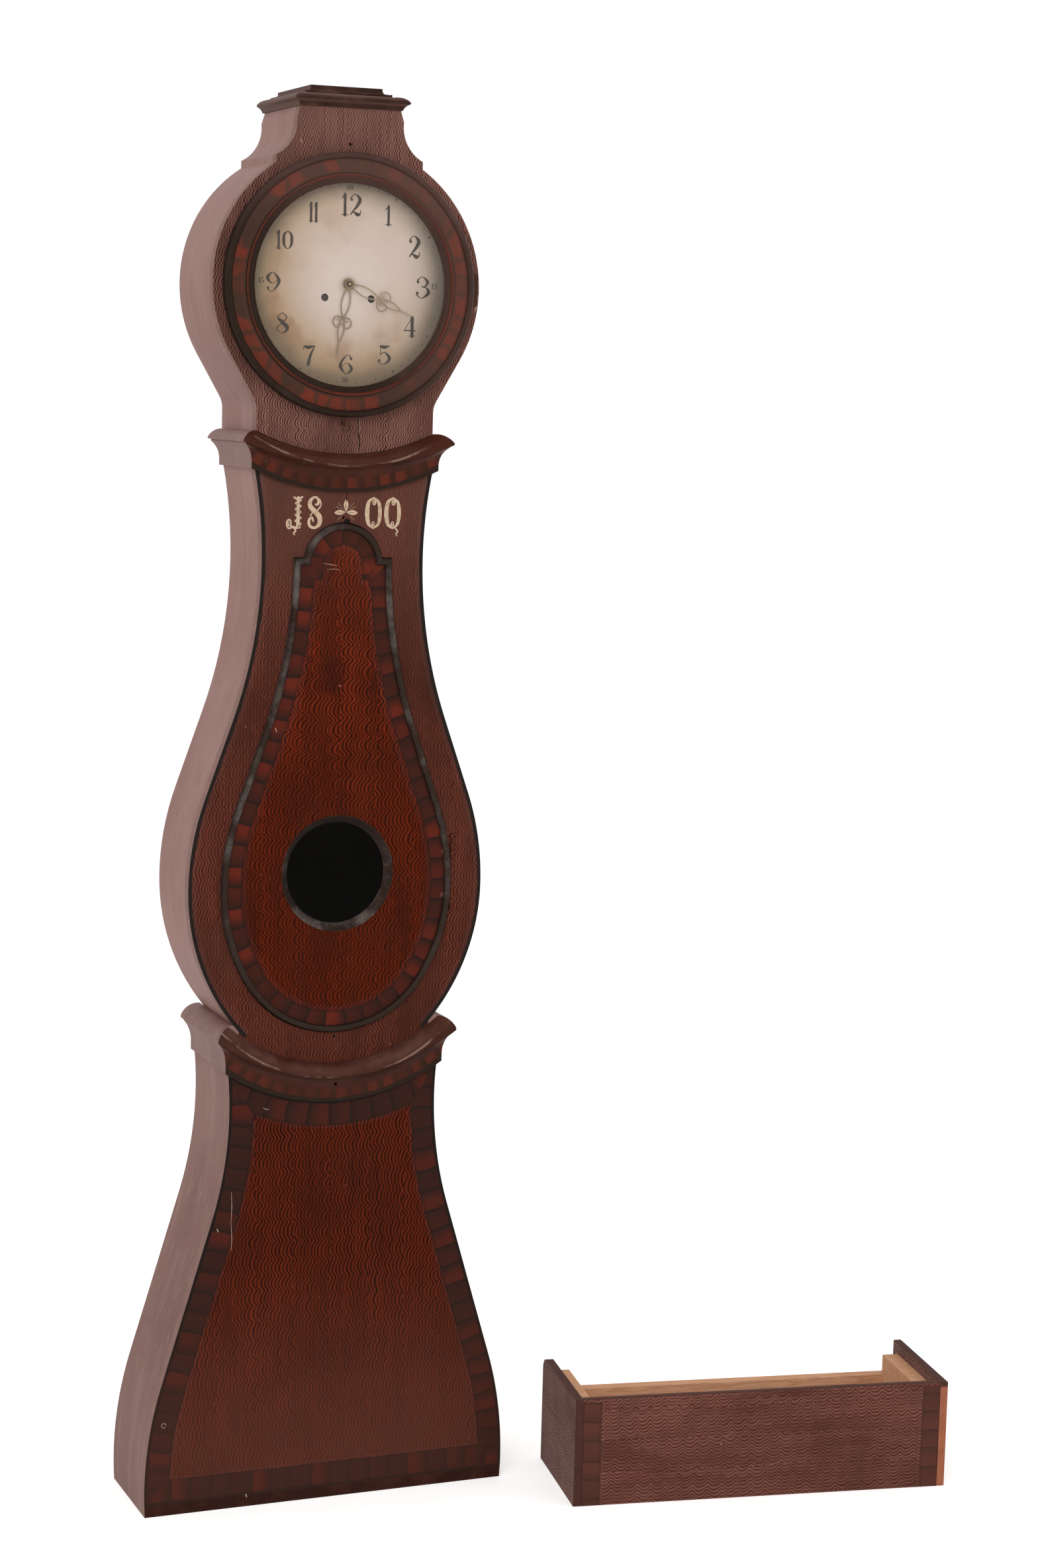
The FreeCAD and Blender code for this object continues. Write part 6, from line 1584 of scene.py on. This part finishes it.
@dataclass
class Trunk(SubAssembly):
    """The trunk of the case between the two mouldings."""

    outline: CaseOutline
    stripe_width: float = 12 * MM
    stripe_low: float = 0.712
    stripe_high: float = 1.545
    proud: float = COAT_PROUD
    figure_height: float = 44 * MM
    figure_width: float = 54 * MM
    figure_place: Point = (60 * MM, 1.477)
    tail_width: float = 12 * MM
    flower_place: Point = (3 * MM, 1.478)
    petals: tuple[float, ...] = (90, 184, -4)
    rays: tuple[float, ...] = (28, 48, 132, 152, 222, 318)
    cracks: Wear = Wear("trunk_cracks", "case", (
        ((3.0, 1.508, 0.9), (4.0, 1.499, 1.1), (3.2, 1.492, 0.7)),
        ((2.8, 1.4648, 5.0), (5.0, 1.4653, 7.6), (7.4, 1.4646, 5.0))))

    def dress(self, frame: Frame) -> None:
        """Paints the trunk.
        """
        coat(frame, TRUNK_FIELD.make(), "trunk_front_board")
        side = DustyPaint("trunk_side_paint", base=paint(160, 122, 115), deep=paint(130, 90, 82))
        coat(frame, side.make(), "trunk_sides")
        back = AgedPine("back_pine", light=paint(140, 100, 70), dark=paint(88, 58, 40), upright=True)
        coat(frame, back.make(), "backboard")
        coat(frame, AgedPine("seat_pine", light=paint(186, 142, 100)).make(), "seat_board", "seat_cheeks")

    def build(self) -> None:
        """Adds the black edge stripes, the painted figures and flower, and the cracks."""
        stripe = EdgeStripe("trunk_stripe_paint", TRUNK_FIELD).make()
        right = self.outline.trunk_side(0.0, self.stripe_low, self.stripe_high)
        for name, line in (("right", right), ("left", mirrored(right))):
            border([line], self.stripe_width, False, on_front(self.proud)).piece(
                "trunk_stripe_" + name, "case", "black_paint", stripe)
        cream = FadedInk("figure_paint", ink=paint(210, 184, 156), worn=paint(146, 116, 94), wear=0.7).make()
        brush = Brush(FRONT_Y - self.proud)
        x, z = self.figure_place
        for digits, side in (("18", -1), ("00", 1)):
            brush.words(digits, (side * x, z), self.figure_width, self.figure_height, gap=0.16, weight=0.9,
                        shapes=FOLK_DIGITS)
        brush.words(("tail",), (x + 0.42 * self.figure_width, z), self.tail_width, self.figure_height,
                    shapes=FOLK_DIGITS)
        brush.drawing.piece("painted_figures", "case", "cream_enamel", cream)
        self.flower(cream)
        self.cracks.build()

    def flower(self, cream: bpy.types.Material) -> None:
        """Paints the small flower: three petals with dark midlines, and rays between them.

        Args:
            cream: the paint of the petals.
        """
        petals, veins = Brush(FRONT_Y - self.proud), Brush(FRONT_Y - self.proud - 0.1 * MM)
        rays = Brush(FRONT_Y - self.proud)
        x, z = self.flower_place

        def ray(degrees: float, stops: Sequence[Point]) -> Stroke:
            """A stroke outwards from the flower's middle; its stops are distance and width in millimetres."""
            turn = math.radians(degrees)
            return tuple((x + math.cos(turn) * far * MM, z + math.sin(turn) * far * MM, wide * MM)
                         for far, wide in stops)

        for degrees in self.petals:
            petals.stroke(smooth(ray(degrees, ((1.5, 1.4), (6.0, 5.4), (10.5, 7.2), (15.0, 4.6), (17.5, 0.8)))))
            veins.stroke(ray(degrees, ((3.0, 0.5), (9.0, 0.9), (13.0, 0.4))))
        for degrees in self.rays:
            rays.stroke(ray(degrees, ((4.5, 0.5), (17.0, 1.1))))
        vein = FadedInk("flower_vein_paint", ink=paint(120, 88, 70), worn=paint(90, 60, 50)).make()
        faint = FadedInk("flower_ray_paint", ink=paint(152, 118, 102), worn=paint(112, 78, 66), wear=0.8).make()
        for name, brush, finish in (("painted_flower", petals, cream), ("flower_veins", veins, vein),
                                    ("flower_rays", rays, faint)):
            brush.drawing.piece(name, "case", "cream_enamel", finish)


def dome(x: float, z: float, radius: float, height: float, face: float) -> Drawing:
    """A hammered nail head standing on a front face.

    Args:
        x: its place across.
        z: its height.
        radius: its radius.
        height: how far it stands out.
        face: the Y of the face.

    Returns:
        The drawing of the nail head.
    """
    drawing = Drawing()
    rings, sides, tip, dents = 5, 18, 0.2 * MM, 0.05
    for ring in range(rings):
        slope = math.pi / 2 * ring / (rings - 1)
        out = radius * math.cos(slope) if ring < rings - 1 else tip
        for i in range(sides):
            turn = math.tau * i / sides
            uneven = 1 + dents * math.sin(3 * turn + ring + x * 900)
            drawing.vertices.append((x + out * uneven * math.cos(turn), face - height * math.sin(slope),
                                     z + out * uneven * math.sin(turn)))
    drawing.skin(0, rings, sides, [rings - 1])
    return drawing


@dataclass
class Door(SubAssembly):
    """The shaped door in the trunk, with its bead, window and strap hinge."""

    outline: CaseOutline
    bead: float = 9 * MM
    overlap: float = 0.5 * MM
    border_width: float = 30 * MM
    proud: float = COAT_PROUD
    nails: tuple[Point, ...] = ((165 * MM, 0.977), (165 * MM, 0.912))
    nail_radius: float = 4.2 * MM
    nail_height: float = 1.9 * MM
    chips: Wear = Wear("door_chips", "trunk_door", (
        ((-98.5, 1.166, 1.0), (-97.0, 1.161, 1.5)),
        ((-30.0, 1.404, 0.3), (-18.0, 1.402, 0.8), (-8.0, 1.401, 0.3)),
        ((-24.0, 1.395, 0.3), (-14.0, 1.396, 0.6), (-4.0, 1.394, 0.3))), pale=True)

    def dress(self, frame: Frame) -> None:
        """Paints the door and its fittings.
        """
        coat(frame, RED_FIELD.make(), "trunk_door")
        # Painted sheen: the bead's grey patches lie on its upper part, where light glances off it.
        bead = WornBlack("bead_paint", black=paint(34, 27, 24), wear_and_sheen=paint(120, 114, 110), wear_and_sheen_share=0.6,
                         sheen_from=0.74, sheen_full=1.09)
        coat(frame, bead.make(), "trunk_door_bead")
        # Painted highlight: the ring's grey patches grow towards its lower part, where light catches the
        # chamfer.
        ring = WornBlack("window_ring_paint", black=paint(32, 24, 21), wear_and_sheen=paint(126, 116, 110), wear_and_sheen_share=0.75,
                         sheen_from=1.03, sheen_full=0.93)
        coat(frame, ring.make(), "window_ring")
        # The window's glass is an opaque dark sheet: painted shade for the dark inside of the case.
        coat(frame, OldGlass("window_glass_film", painted_shade=1.0, shine=0.10).make(), "window_glass")
        iron = replace(TRUNK_FIELD, name="painted_iron", edge=paint(52, 30, 24), sheen_most=0.0)
        coat(frame, iron.make(), "door_hinge_leaf", "door_hinge_plate")

    def build(self) -> None:
        """Adds the blocked border, the two painted nails and the chips."""
        blocks = BlockBorder("door_border_paint", RED_FIELD, pitch=32 * MM, end=22 * MM, edge=0.5 * MM,
                             blaze=0.68, red=paint(104, 36, 22), dark=paint(52, 25, 18), seed=1.0)
        loop = self.outline.door(self.bead - self.overlap)
        border(loop, self.border_width, True, on_front(self.proud)).piece(
            "door_border", "trunk_door", "red_paint", blocks.make())
        nail_paint = WornBlack("nail_paint", black=paint(70, 36, 28), wear_and_sheen=paint(130, 100, 88)).make()
        for number, (x, z) in enumerate(self.nails, 1):
            dome(x, z, self.nail_radius, self.nail_height, FRONT_Y).piece(
                "door_nail_%d" % number, "trunk_door", "dark_iron", nail_paint, smooth=True)
        self.chips.build()


@dataclass
class Mouldings(SubAssembly):
    """The two painted mouldings round the case; all of their pieces are solids."""

    upper: MouldingLine = UPPER_LINE
    lower: MouldingLine = LOWER_LINE

    def dress(self, frame: Frame) -> None:
        """Paints the mouldings.
        """
        upper = MouldingPaint("upper_moulding_paint", self.upper.centre, self.upper.radius)
        coat(frame, upper.make(), "upper_moulding_front")
        lower = MouldingPaint("lower_moulding_paint", self.lower.centre, self.lower.radius,
                              base=paint(64, 31, 24), top=paint(112, 76, 67), top_from=35 * MM, dust_and_sheen=0.6,
                              blocks=0.55)
        coat(frame, lower.make(), "lower_moulding_front")
        side = DustyPaint("moulding_side_paint", base=paint(142, 110, 104), deep=paint(116, 82, 75),
                          pale=paint(178, 150, 143))
        coat(frame, side.make(), "upper_moulding_returns", "lower_moulding_returns")


@dataclass
class Hood(SubAssembly):
    """The round head of the case, with its shoulders, neck and cap."""

    cracks: Wear = Wear("hood_cracks", "hood", (
        ((19.0, 1.613, 0.8), (20.5, 1.601, 1.0), (19.5, 1.590, 1.3), (22.0, 1.578, 1.6), (21.0, 1.567, 1.0)),
        ((-13.0, 2.050, 0.4), (-12.0, 2.030, 0.6), (-12.5, 2.008, 0.5))))
    chips: Wear = Wear("hood_chips", "hood", (
        ((20.4, 1.612, 0.7), (21.8, 1.601, 0.8), (21.0, 1.591, 0.5)),
        ((193.0, 1.814, 1.6), (197.0, 1.802, 2.6), (198.5, 1.790, 2.2), (197.5, 1.778, 2.8),
         (195.0, 1.770, 1.2)),
        ((-74.5, 2.004, 0.8), (-73.5, 1.998, 1.1)),
        ((-146.5, 1.918, 1.0), (-145.0, 1.915, 0.8))), pale=True)

    def dress(self, frame: Frame) -> None:
        """Paints the hood.
        """
        coat(frame, HOOD_FIELD.make(), "hood_front_board")
        side = DustyPaint("hood_side_paint", base=paint(158, 121, 114), deep=paint(130, 90, 82),
                          pale=paint(184, 157, 150))
        coat(frame, side.make(), "hood_sides", "hood_shoulders")
        cap = WornBlack("cap_paint", black=paint(53, 35, 29), wear_and_sheen=paint(116, 86, 77), wear_and_sheen_share=0.4, rough=0.42,
                        gloss=0.08, flank=0.7)
        coat(frame, cap.make(), "cap_moulding", "cap_steps")
        iron = WornBlack("bezel_iron", black=paint(70, 46, 40), wear_and_sheen=paint(112, 84, 74), wear_and_sheen_share=0.5, rough=0.45,
                         gloss=0.15)
        coat(frame, iron.make(), "bezel_hinge_plate", "bezel_hinge_leaf", "bezel_catch")

    def build(self) -> None:
        """Adds the cracks and chips."""
        self.cracks.build()
        self.chips.build()


@dataclass
class Bezel(SubAssembly):
    """The round glazed door over the dial; all of its pieces are solids."""

    centre: float = DIAL_HEIGHT
    bead: float = 177.5 * MM
    band: float = 157 * MM
    thin: float = 152.5 * MM

    def dress(self, frame: Frame) -> None:
        """Paints the ring and clears the glass.
        """
        ring = BezelPaint("bezel_paint", centre=self.centre, bead=self.bead, band=self.band, thin=self.thin)
        coat(frame, ring.make(), "bezel_ring")
        coat(frame, OldGlass("bezel_glass_film", smear=0.02, shine=0.6).make(), "bezel_glass")


Numeral = tuple[str, float, float, float, float]
"""A figure's digits, its place across and up from the hub, and its width and height, all in millimetres."""


@dataclass
class Dial(SubAssembly):
    """The painted dial with its figures and hands."""

    hub: float = HUB_HEIGHT
    face: float = FRONT_Y - 1.0 * MM
    proud: float = 0.15 * MM
    dot_ring: float = 140.5 * MM
    dot: float = 0.9 * MM
    hour_dot: float = 1.5 * MM
    arbor: float = 5.0 * MM
    hours: tuple[Numeral, ...] = (
        ("12", 2.5, 111.8, 30, 30), ("1", 59, 99, 11, 27), ("2", 99.6, 56.3, 17, 31), ("3", 114, -1, 22, 30),
        ("4", 94.7, -57.7, 18, 27), ("5", 57, -99, 20, 27), ("6", -1, -114, 21, 27), ("7", -57, -102, 19, 27),
        ("8", -98, -58, 21, 29), ("9", -113, -1, 21, 27), ("10", -97, 58.6, 25, 25), ("11", -54, 99, 14, 26))
    small: tuple[Numeral, ...] = (("60", 0, 136, 9, 7.5), ("30", -3, -136, 9, 7.5), ("45", -131, 1, 9, 7.5),
                                  ("15", 131, 1, 8, 7.5))

    def dress(self, frame: Frame) -> None:
        """Paints the plate and gilds the hands.
        """
        coat(frame, DialPaint("dial_paint").make(), "dial_plate")
        gilt = DrumMetal("gilt_brass_finish", (0.0, self.hub), arbor=self.arbor, bright=paint(150, 130, 98),
                         dull=paint(84, 70, 52), steel=paint(62, 54, 48))
        coat(frame, gilt.make(), "minute_hand", "hour_hand")

    def build(self) -> None:
        """Draws the hour figures, the small figures and the minute dots."""
        ink = FadedInk("dial_ink", ink=paint(48, 38, 33), worn=paint(112, 96, 82), wear=0.4).make()
        large, marks = Brush(self.face - self.proud), Brush(self.face - self.proud)
        for brush, figures, gap, weight in ((large, self.hours, 0.10, 1.05), (marks, self.small, 0.16, 1.2)):
            for digits, x, z, width, height in figures:
                place = (x * MM, self.hub + z * MM)
                brush.words(digits, place, width * MM, height * MM, gap=gap, weight=weight)
        for minute in range(60):
            if minute % 15:
                turn = math.radians(90 - 6 * minute)
                radius = self.dot if minute % 5 else self.hour_dot
                marks.dot(self.dot_ring * math.cos(turn), self.hub + self.dot_ring * math.sin(turn), radius)
        large.drawing.piece("dial_hours", "case", "cream_enamel", ink)
        marks.drawing.piece("dial_minutes", "case", "cream_enamel", ink)


@dataclass
class Movement(SubAssembly):
    """The two trains, the striking work, the pendulum and the weights; all of their pieces are solids."""

    brass: tuple[str, ...] = ("front_plate", "back_plate", "centre_wheel", "hour_wheel", "minute_wheel",
                              "third_wheel", "escape_wheel", "going_great_wheel", "going_pulley",
                              "strike_great_wheel", "strike_pulley", "pin_wheel", "warning_wheel", "fly")
    steel: tuple[str, ...] = ("anchor", "pendulum_rod", "rating_nut", "hammer")

    def dress(self, frame: Frame) -> None:
        """Gives each metal its finish.
        """
        for name, side in (("going", 1), ("strike", -1)):
            drum = DrumMetal(name + "_drum_finish", (side * DRUM_HALF, DRUM_HEIGHT))
            coat(frame, drum.make(), name + "_barrel")
        for metal, names in (
                (Metal("brass_finish", paint(190, 152, 88), paint(122, 88, 48)), self.brass),
                (Metal("bob_brass", paint(176, 138, 80), paint(104, 76, 44), rough=0.42, tarnish=0.7),
                 ("pendulum_bob",)),
                (Metal("steel_finish", paint(168, 166, 162), paint(96, 84, 76), rough=0.3), self.steel),
                (Metal("bell_finish", paint(184, 158, 112), paint(122, 100, 70), rough=0.25), ("bell",)),
                (Metal("cast_iron_finish", paint(84, 78, 74), paint(92, 58, 42), rough=0.6, tarnish=0.8,
                       metallic=0.8), ("going_weight", "strike_weight"))):
            coat(frame, metal.make(), *names)


@dataclass
class WeightLines(SubAssembly):
    """The gut lines that carry the weights, one loop under each pulley."""

    half: float = DRUM_HALF
    swing: float = 21.1 * MM
    line: float = 1.1 * MM
    depth: float = 53 * MM
    drum: float = DRUM_HEIGHT
    seat: float = 1.722
    pulley: float = 1.606
    knot: float = 5.4 * MM
    sides: int = 10
    bends: int = 20

    def build(self) -> None:
        """Draws the two lines, each with its knot, and hides the frame's own lines."""
        gut = Cord("gut_line").make()
        made = []
        for name, side in (("going", 1), ("strike", -1)):
            x, y = side * self.half, FRONT_Y + self.depth
            thing = self.tube(x, y, side).piece(name + "_line", "", "line_cord", gut, smooth=True)
            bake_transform(thing)
            made.append(thing)
        for thing in made:
            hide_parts("weight_lines")

    def tube(self, x: float, y: float, side: int) -> Drawing:
        """One line: down from the drum, under the pulley and up to its knot on the seat board.

        Args:
            x: the middle of its pulley.
            y: the line's depth.
            side: one where the line comes off the drum's right, minus one for its left.

        Returns:
            The drawing of the line with its knot.
        """
        outer, inner = x + side * self.swing, x - side * self.swing
        path = [(outer, self.drum), (outer, self.seat), (outer, self.pulley)]
        for i in range(1, self.bends):
            turn = math.pi * i / self.bends
            path.append((x + side * self.swing * math.cos(turn), self.pulley - self.swing * math.sin(turn)))
        path += [(inner, self.pulley), (inner, self.seat), (inner, self.seat + self.knot)]
        drawing = Drawing()
        for i, (px, pz) in enumerate(path):
            way = heading(path[max(0, i - 1)], path[min(len(path) - 1, i + 1)])
            for k in range(self.sides):
                turn = math.tau * k / self.sides
                out, deep = self.line * math.cos(turn), self.line * math.sin(turn)
                drawing.vertices.append((px - way[1] * out, y + deep, pz + way[0] * out))
        drawing.skin(0, len(path), self.sides, [0, len(path) - 1])
        self.add_knot(drawing, inner, y)
        return drawing

    def add_knot(self, drawing: Drawing, x: float, y: float) -> None:
        """A lumpy overhand knot that stops the line on the seat board.

        Args:
            drawing: the line's drawing.
            x: the line's place across.
            y: its depth.
        """
        rings, sides, lumps = 9, 14, 0.1
        start = len(drawing.vertices)
        for ring in range(rings):
            slope = math.pi * (0.04 + 0.92 * ring / (rings - 1))
            for i in range(sides):
                turn = math.tau * i / sides
                out = self.knot * (1 - lumps + lumps * math.sin(3 * turn + 4 * slope))
                drawing.vertices.append((x + out * math.sin(slope) * math.cos(turn),
                                         y + out * math.sin(slope) * math.sin(turn),
                                         self.seat + self.knot - out * math.cos(slope)))
        drawing.skin(start, rings, sides, [0, rings - 1])


@dataclass
class Plinth(SubAssembly):
    """The loose plinth that stands beside the clock."""

    corner: Point = (338 * MM, FRONT_Y - 156 * MM)
    length: float = 589 * MM
    height: float = 165 * MM
    board: float = 12 * MM
    edge_round: float = 5 * MM
    block: float = 34 * MM
    proud: float = COAT_PROUD

    def dress(self, frame: Frame) -> None:
        """Paints the outside boards; the linings stay bare.
        """
        coat(frame, PLINTH_FIELD.make(), "plinth_front")
        side = CombedPaint("plinth_side_paint", light=paint(150, 114, 106), dark=paint(74, 44, 38),
                           shadow=paint(84, 60, 55), lay=Lay.LEVEL, pitch=4.6 * MM, wave=17 * MM,
                           reach=3.0 * MM, turn=PLINTH_TURN - math.pi / 2, rough=0.55, edge=paint(80, 52, 46),
                           raw=paint(168, 104, 78), raw_from=0.80)
        coat(frame, side.make(), "plinth_sides")
        pine = AgedPine("plinth_pine", light=paint(228, 176, 138), dark=paint(196, 142, 106), turn=PLINTH_TURN)
        coat(frame, pine.make(), "plinth_linings")

    def on_board(self, along: float, up: float) -> Place:
        """A point just in front of the front board."""
        cosine, sine = math.cos(PLINTH_TURN), math.sin(PLINTH_TURN)
        return (self.corner[0] + along * cosine - self.proud * sine,
                self.corner[1] - along * sine - self.proud * cosine, up)

    def build(self) -> None:
        """Adds the columns of blocks at both ends of the front."""
        blocks = BlockBorder("plinth_block_paint", PLINTH_FIELD, pitch=30 * MM, end=28 * MM, edge=1 * MM,
                             red=paint(104, 58, 48), dark=paint(82, 50, 43), black=paint(62, 38, 32),
                             blaze=0.5, seed=7.0).make()
        top = self.height - self.edge_round
        ends = (("left", [(self.board, top), (self.board, 0.0)]),
                ("right", [(self.length - self.board, 0.0), (self.length - self.board, top)]))
        for name, line in ends:
            border([line], self.block, False, self.on_board).piece(
                "plinth_blocks_" + name, "plinth", "red_paint", blocks)


@dataclass(frozen=True)
class Lamp:
    """One soft square light."""

    name: str
    spot: Place
    aim: Place
    size: float
    power: float

    def build(self) -> None:
        """Hangs the lamp."""
        light = bpy.data.lights.new(self.name, "AREA")
        light.shape = "SQUARE"
        light.size = self.size
        light.energy = self.power
        thing = bpy.data.objects.new(self.name, light)
        thing.location = self.spot
        thing.rotation_euler = (Vector(self.aim) - Vector(self.spot)).to_track_quat("-Z", "Y").to_euler()
        bpy.context.scene.collection.objects.link(thing)
        log.info("lamp %s", self.name)


@dataclass
class Studio:
    """The pale floor, the soft lights and the camera, whose focal length is a share of the picture's height."""

    eye: Place = (-1.451, -4.2935, 1.665)
    yaw: float = math.radians(22.42)
    pitch: float = math.radians(-7.39)
    roll: float = math.radians(1.49)
    focal: float = 4634 / 2368
    sensor: float = 36.0
    floor_half: float = 30.0
    floor_tone: float = 0.93
    floor_glow: float = 0.5
    around: Colour = (1.0, 0.98, 0.96)
    around_strength: float = 0.6
    lamps: tuple[Lamp, ...] = (Lamp("key", (-2.6, -3.6, 3.4), (0.0, 0.0, 1.1), 2.6, 75.0),
                               Lamp("fill", (3.2, -3.4, 2.2), (0.0, 0.0, 0.9), 2.4, 26.0))

    def build(self) -> None:
        """Sets the scene round the clock."""
        self.floor()
        self.sky()
        for lamp in self.lamps:
            lamp.build()
        self.camera()
        bpy.context.scene.view_settings.view_transform = "Standard"

    def floor(self) -> None:
        """A wide pale floor that takes a soft shadow."""
        shader = Shader("studio_floor_finish")
        tone = self.floor_tone + shader.noise(shader.vector(*shader.place()), 3.0, 2.0) * 0.02
        glow = shader.seen() * self.floor_glow
        finish = shader.finish(Base_Color=shader.vector(tone, tone, tone), Roughness=0.9,
                               Specular_IOR_Level=0.1, Emission_Color=shader.vector(glow, glow, glow),
                               Emission_Strength=1.0)
        half = self.floor_half
        mesh = bpy.data.meshes.new("studio_floor")
        mesh.from_pydata([(-half, -half, 0.0), (half, -half, 0.0), (half, half, 0.0), (-half, half, 0.0)], [],
                         [(0, 1, 2, 3)])
        mesh.materials.append(finish)
        plane = bpy.data.objects.new("studio_floor", mesh)
        bpy.context.scene.collection.objects.link(plane)

    def sky(self) -> None:
        """Plain white behind the object, softer light from all round it."""
        world = bpy.data.worlds.new("studio")
        shader = Shader("studio", world)
        white = shader.add("ShaderNodeBackground", {}, {"Color": (1.0, 1.0, 1.0), "Strength": 1.0})
        around = shader.add("ShaderNodeBackground", {},
                            {"Color": self.around, "Strength": self.around_strength})
        shader.close(shader.add("ShaderNodeMixShader", {}, {0: shader.seen(), 1: around, 2: white}))
        bpy.context.scene.world = world

    def camera(self) -> None:
        """The camera, where the photograph was taken from."""
        ahead = Vector((math.sin(self.yaw) * math.cos(self.pitch), math.cos(self.yaw) * math.cos(self.pitch),
                        math.sin(self.pitch)))
        level = Vector((math.cos(self.yaw), -math.sin(self.yaw), 0.0))
        upright = level.cross(ahead)
        right = level * math.cos(self.roll) + upright * math.sin(self.roll)
        up = upright * math.cos(self.roll) - level * math.sin(self.roll)
        data = bpy.data.cameras.new("camera")
        data.lens = self.focal * self.sensor
        data.sensor_width = self.sensor
        data.sensor_fit = "AUTO"
        data.dof.use_dof = False
        thing = bpy.data.objects.new("camera", data)
        thing.matrix_world = Matrix.Translation(self.eye) @ Matrix((right, up, -ahead)).transposed().to_4x4()
        bpy.context.scene.collection.objects.link(thing)
        bpy.context.scene.camera = thing


def main() -> None:
    """Loads the frame, dresses every part of it and sets the studio."""
    logging.basicConfig(level=logging.INFO, format="%(name)s %(message)s")
    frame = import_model()
    outline = CaseOutline()
    for part in (Base(outline), Trunk(outline), Door(outline), Mouldings(), Hood(), Bezel(), Dial(), Movement(),
                 Plinth(), WeightLines()):
        part.dress(frame)
        part.build()
        log.info("%s done", type(part).__name__)
    Studio().build()


if __name__ == "__main__":
    main()
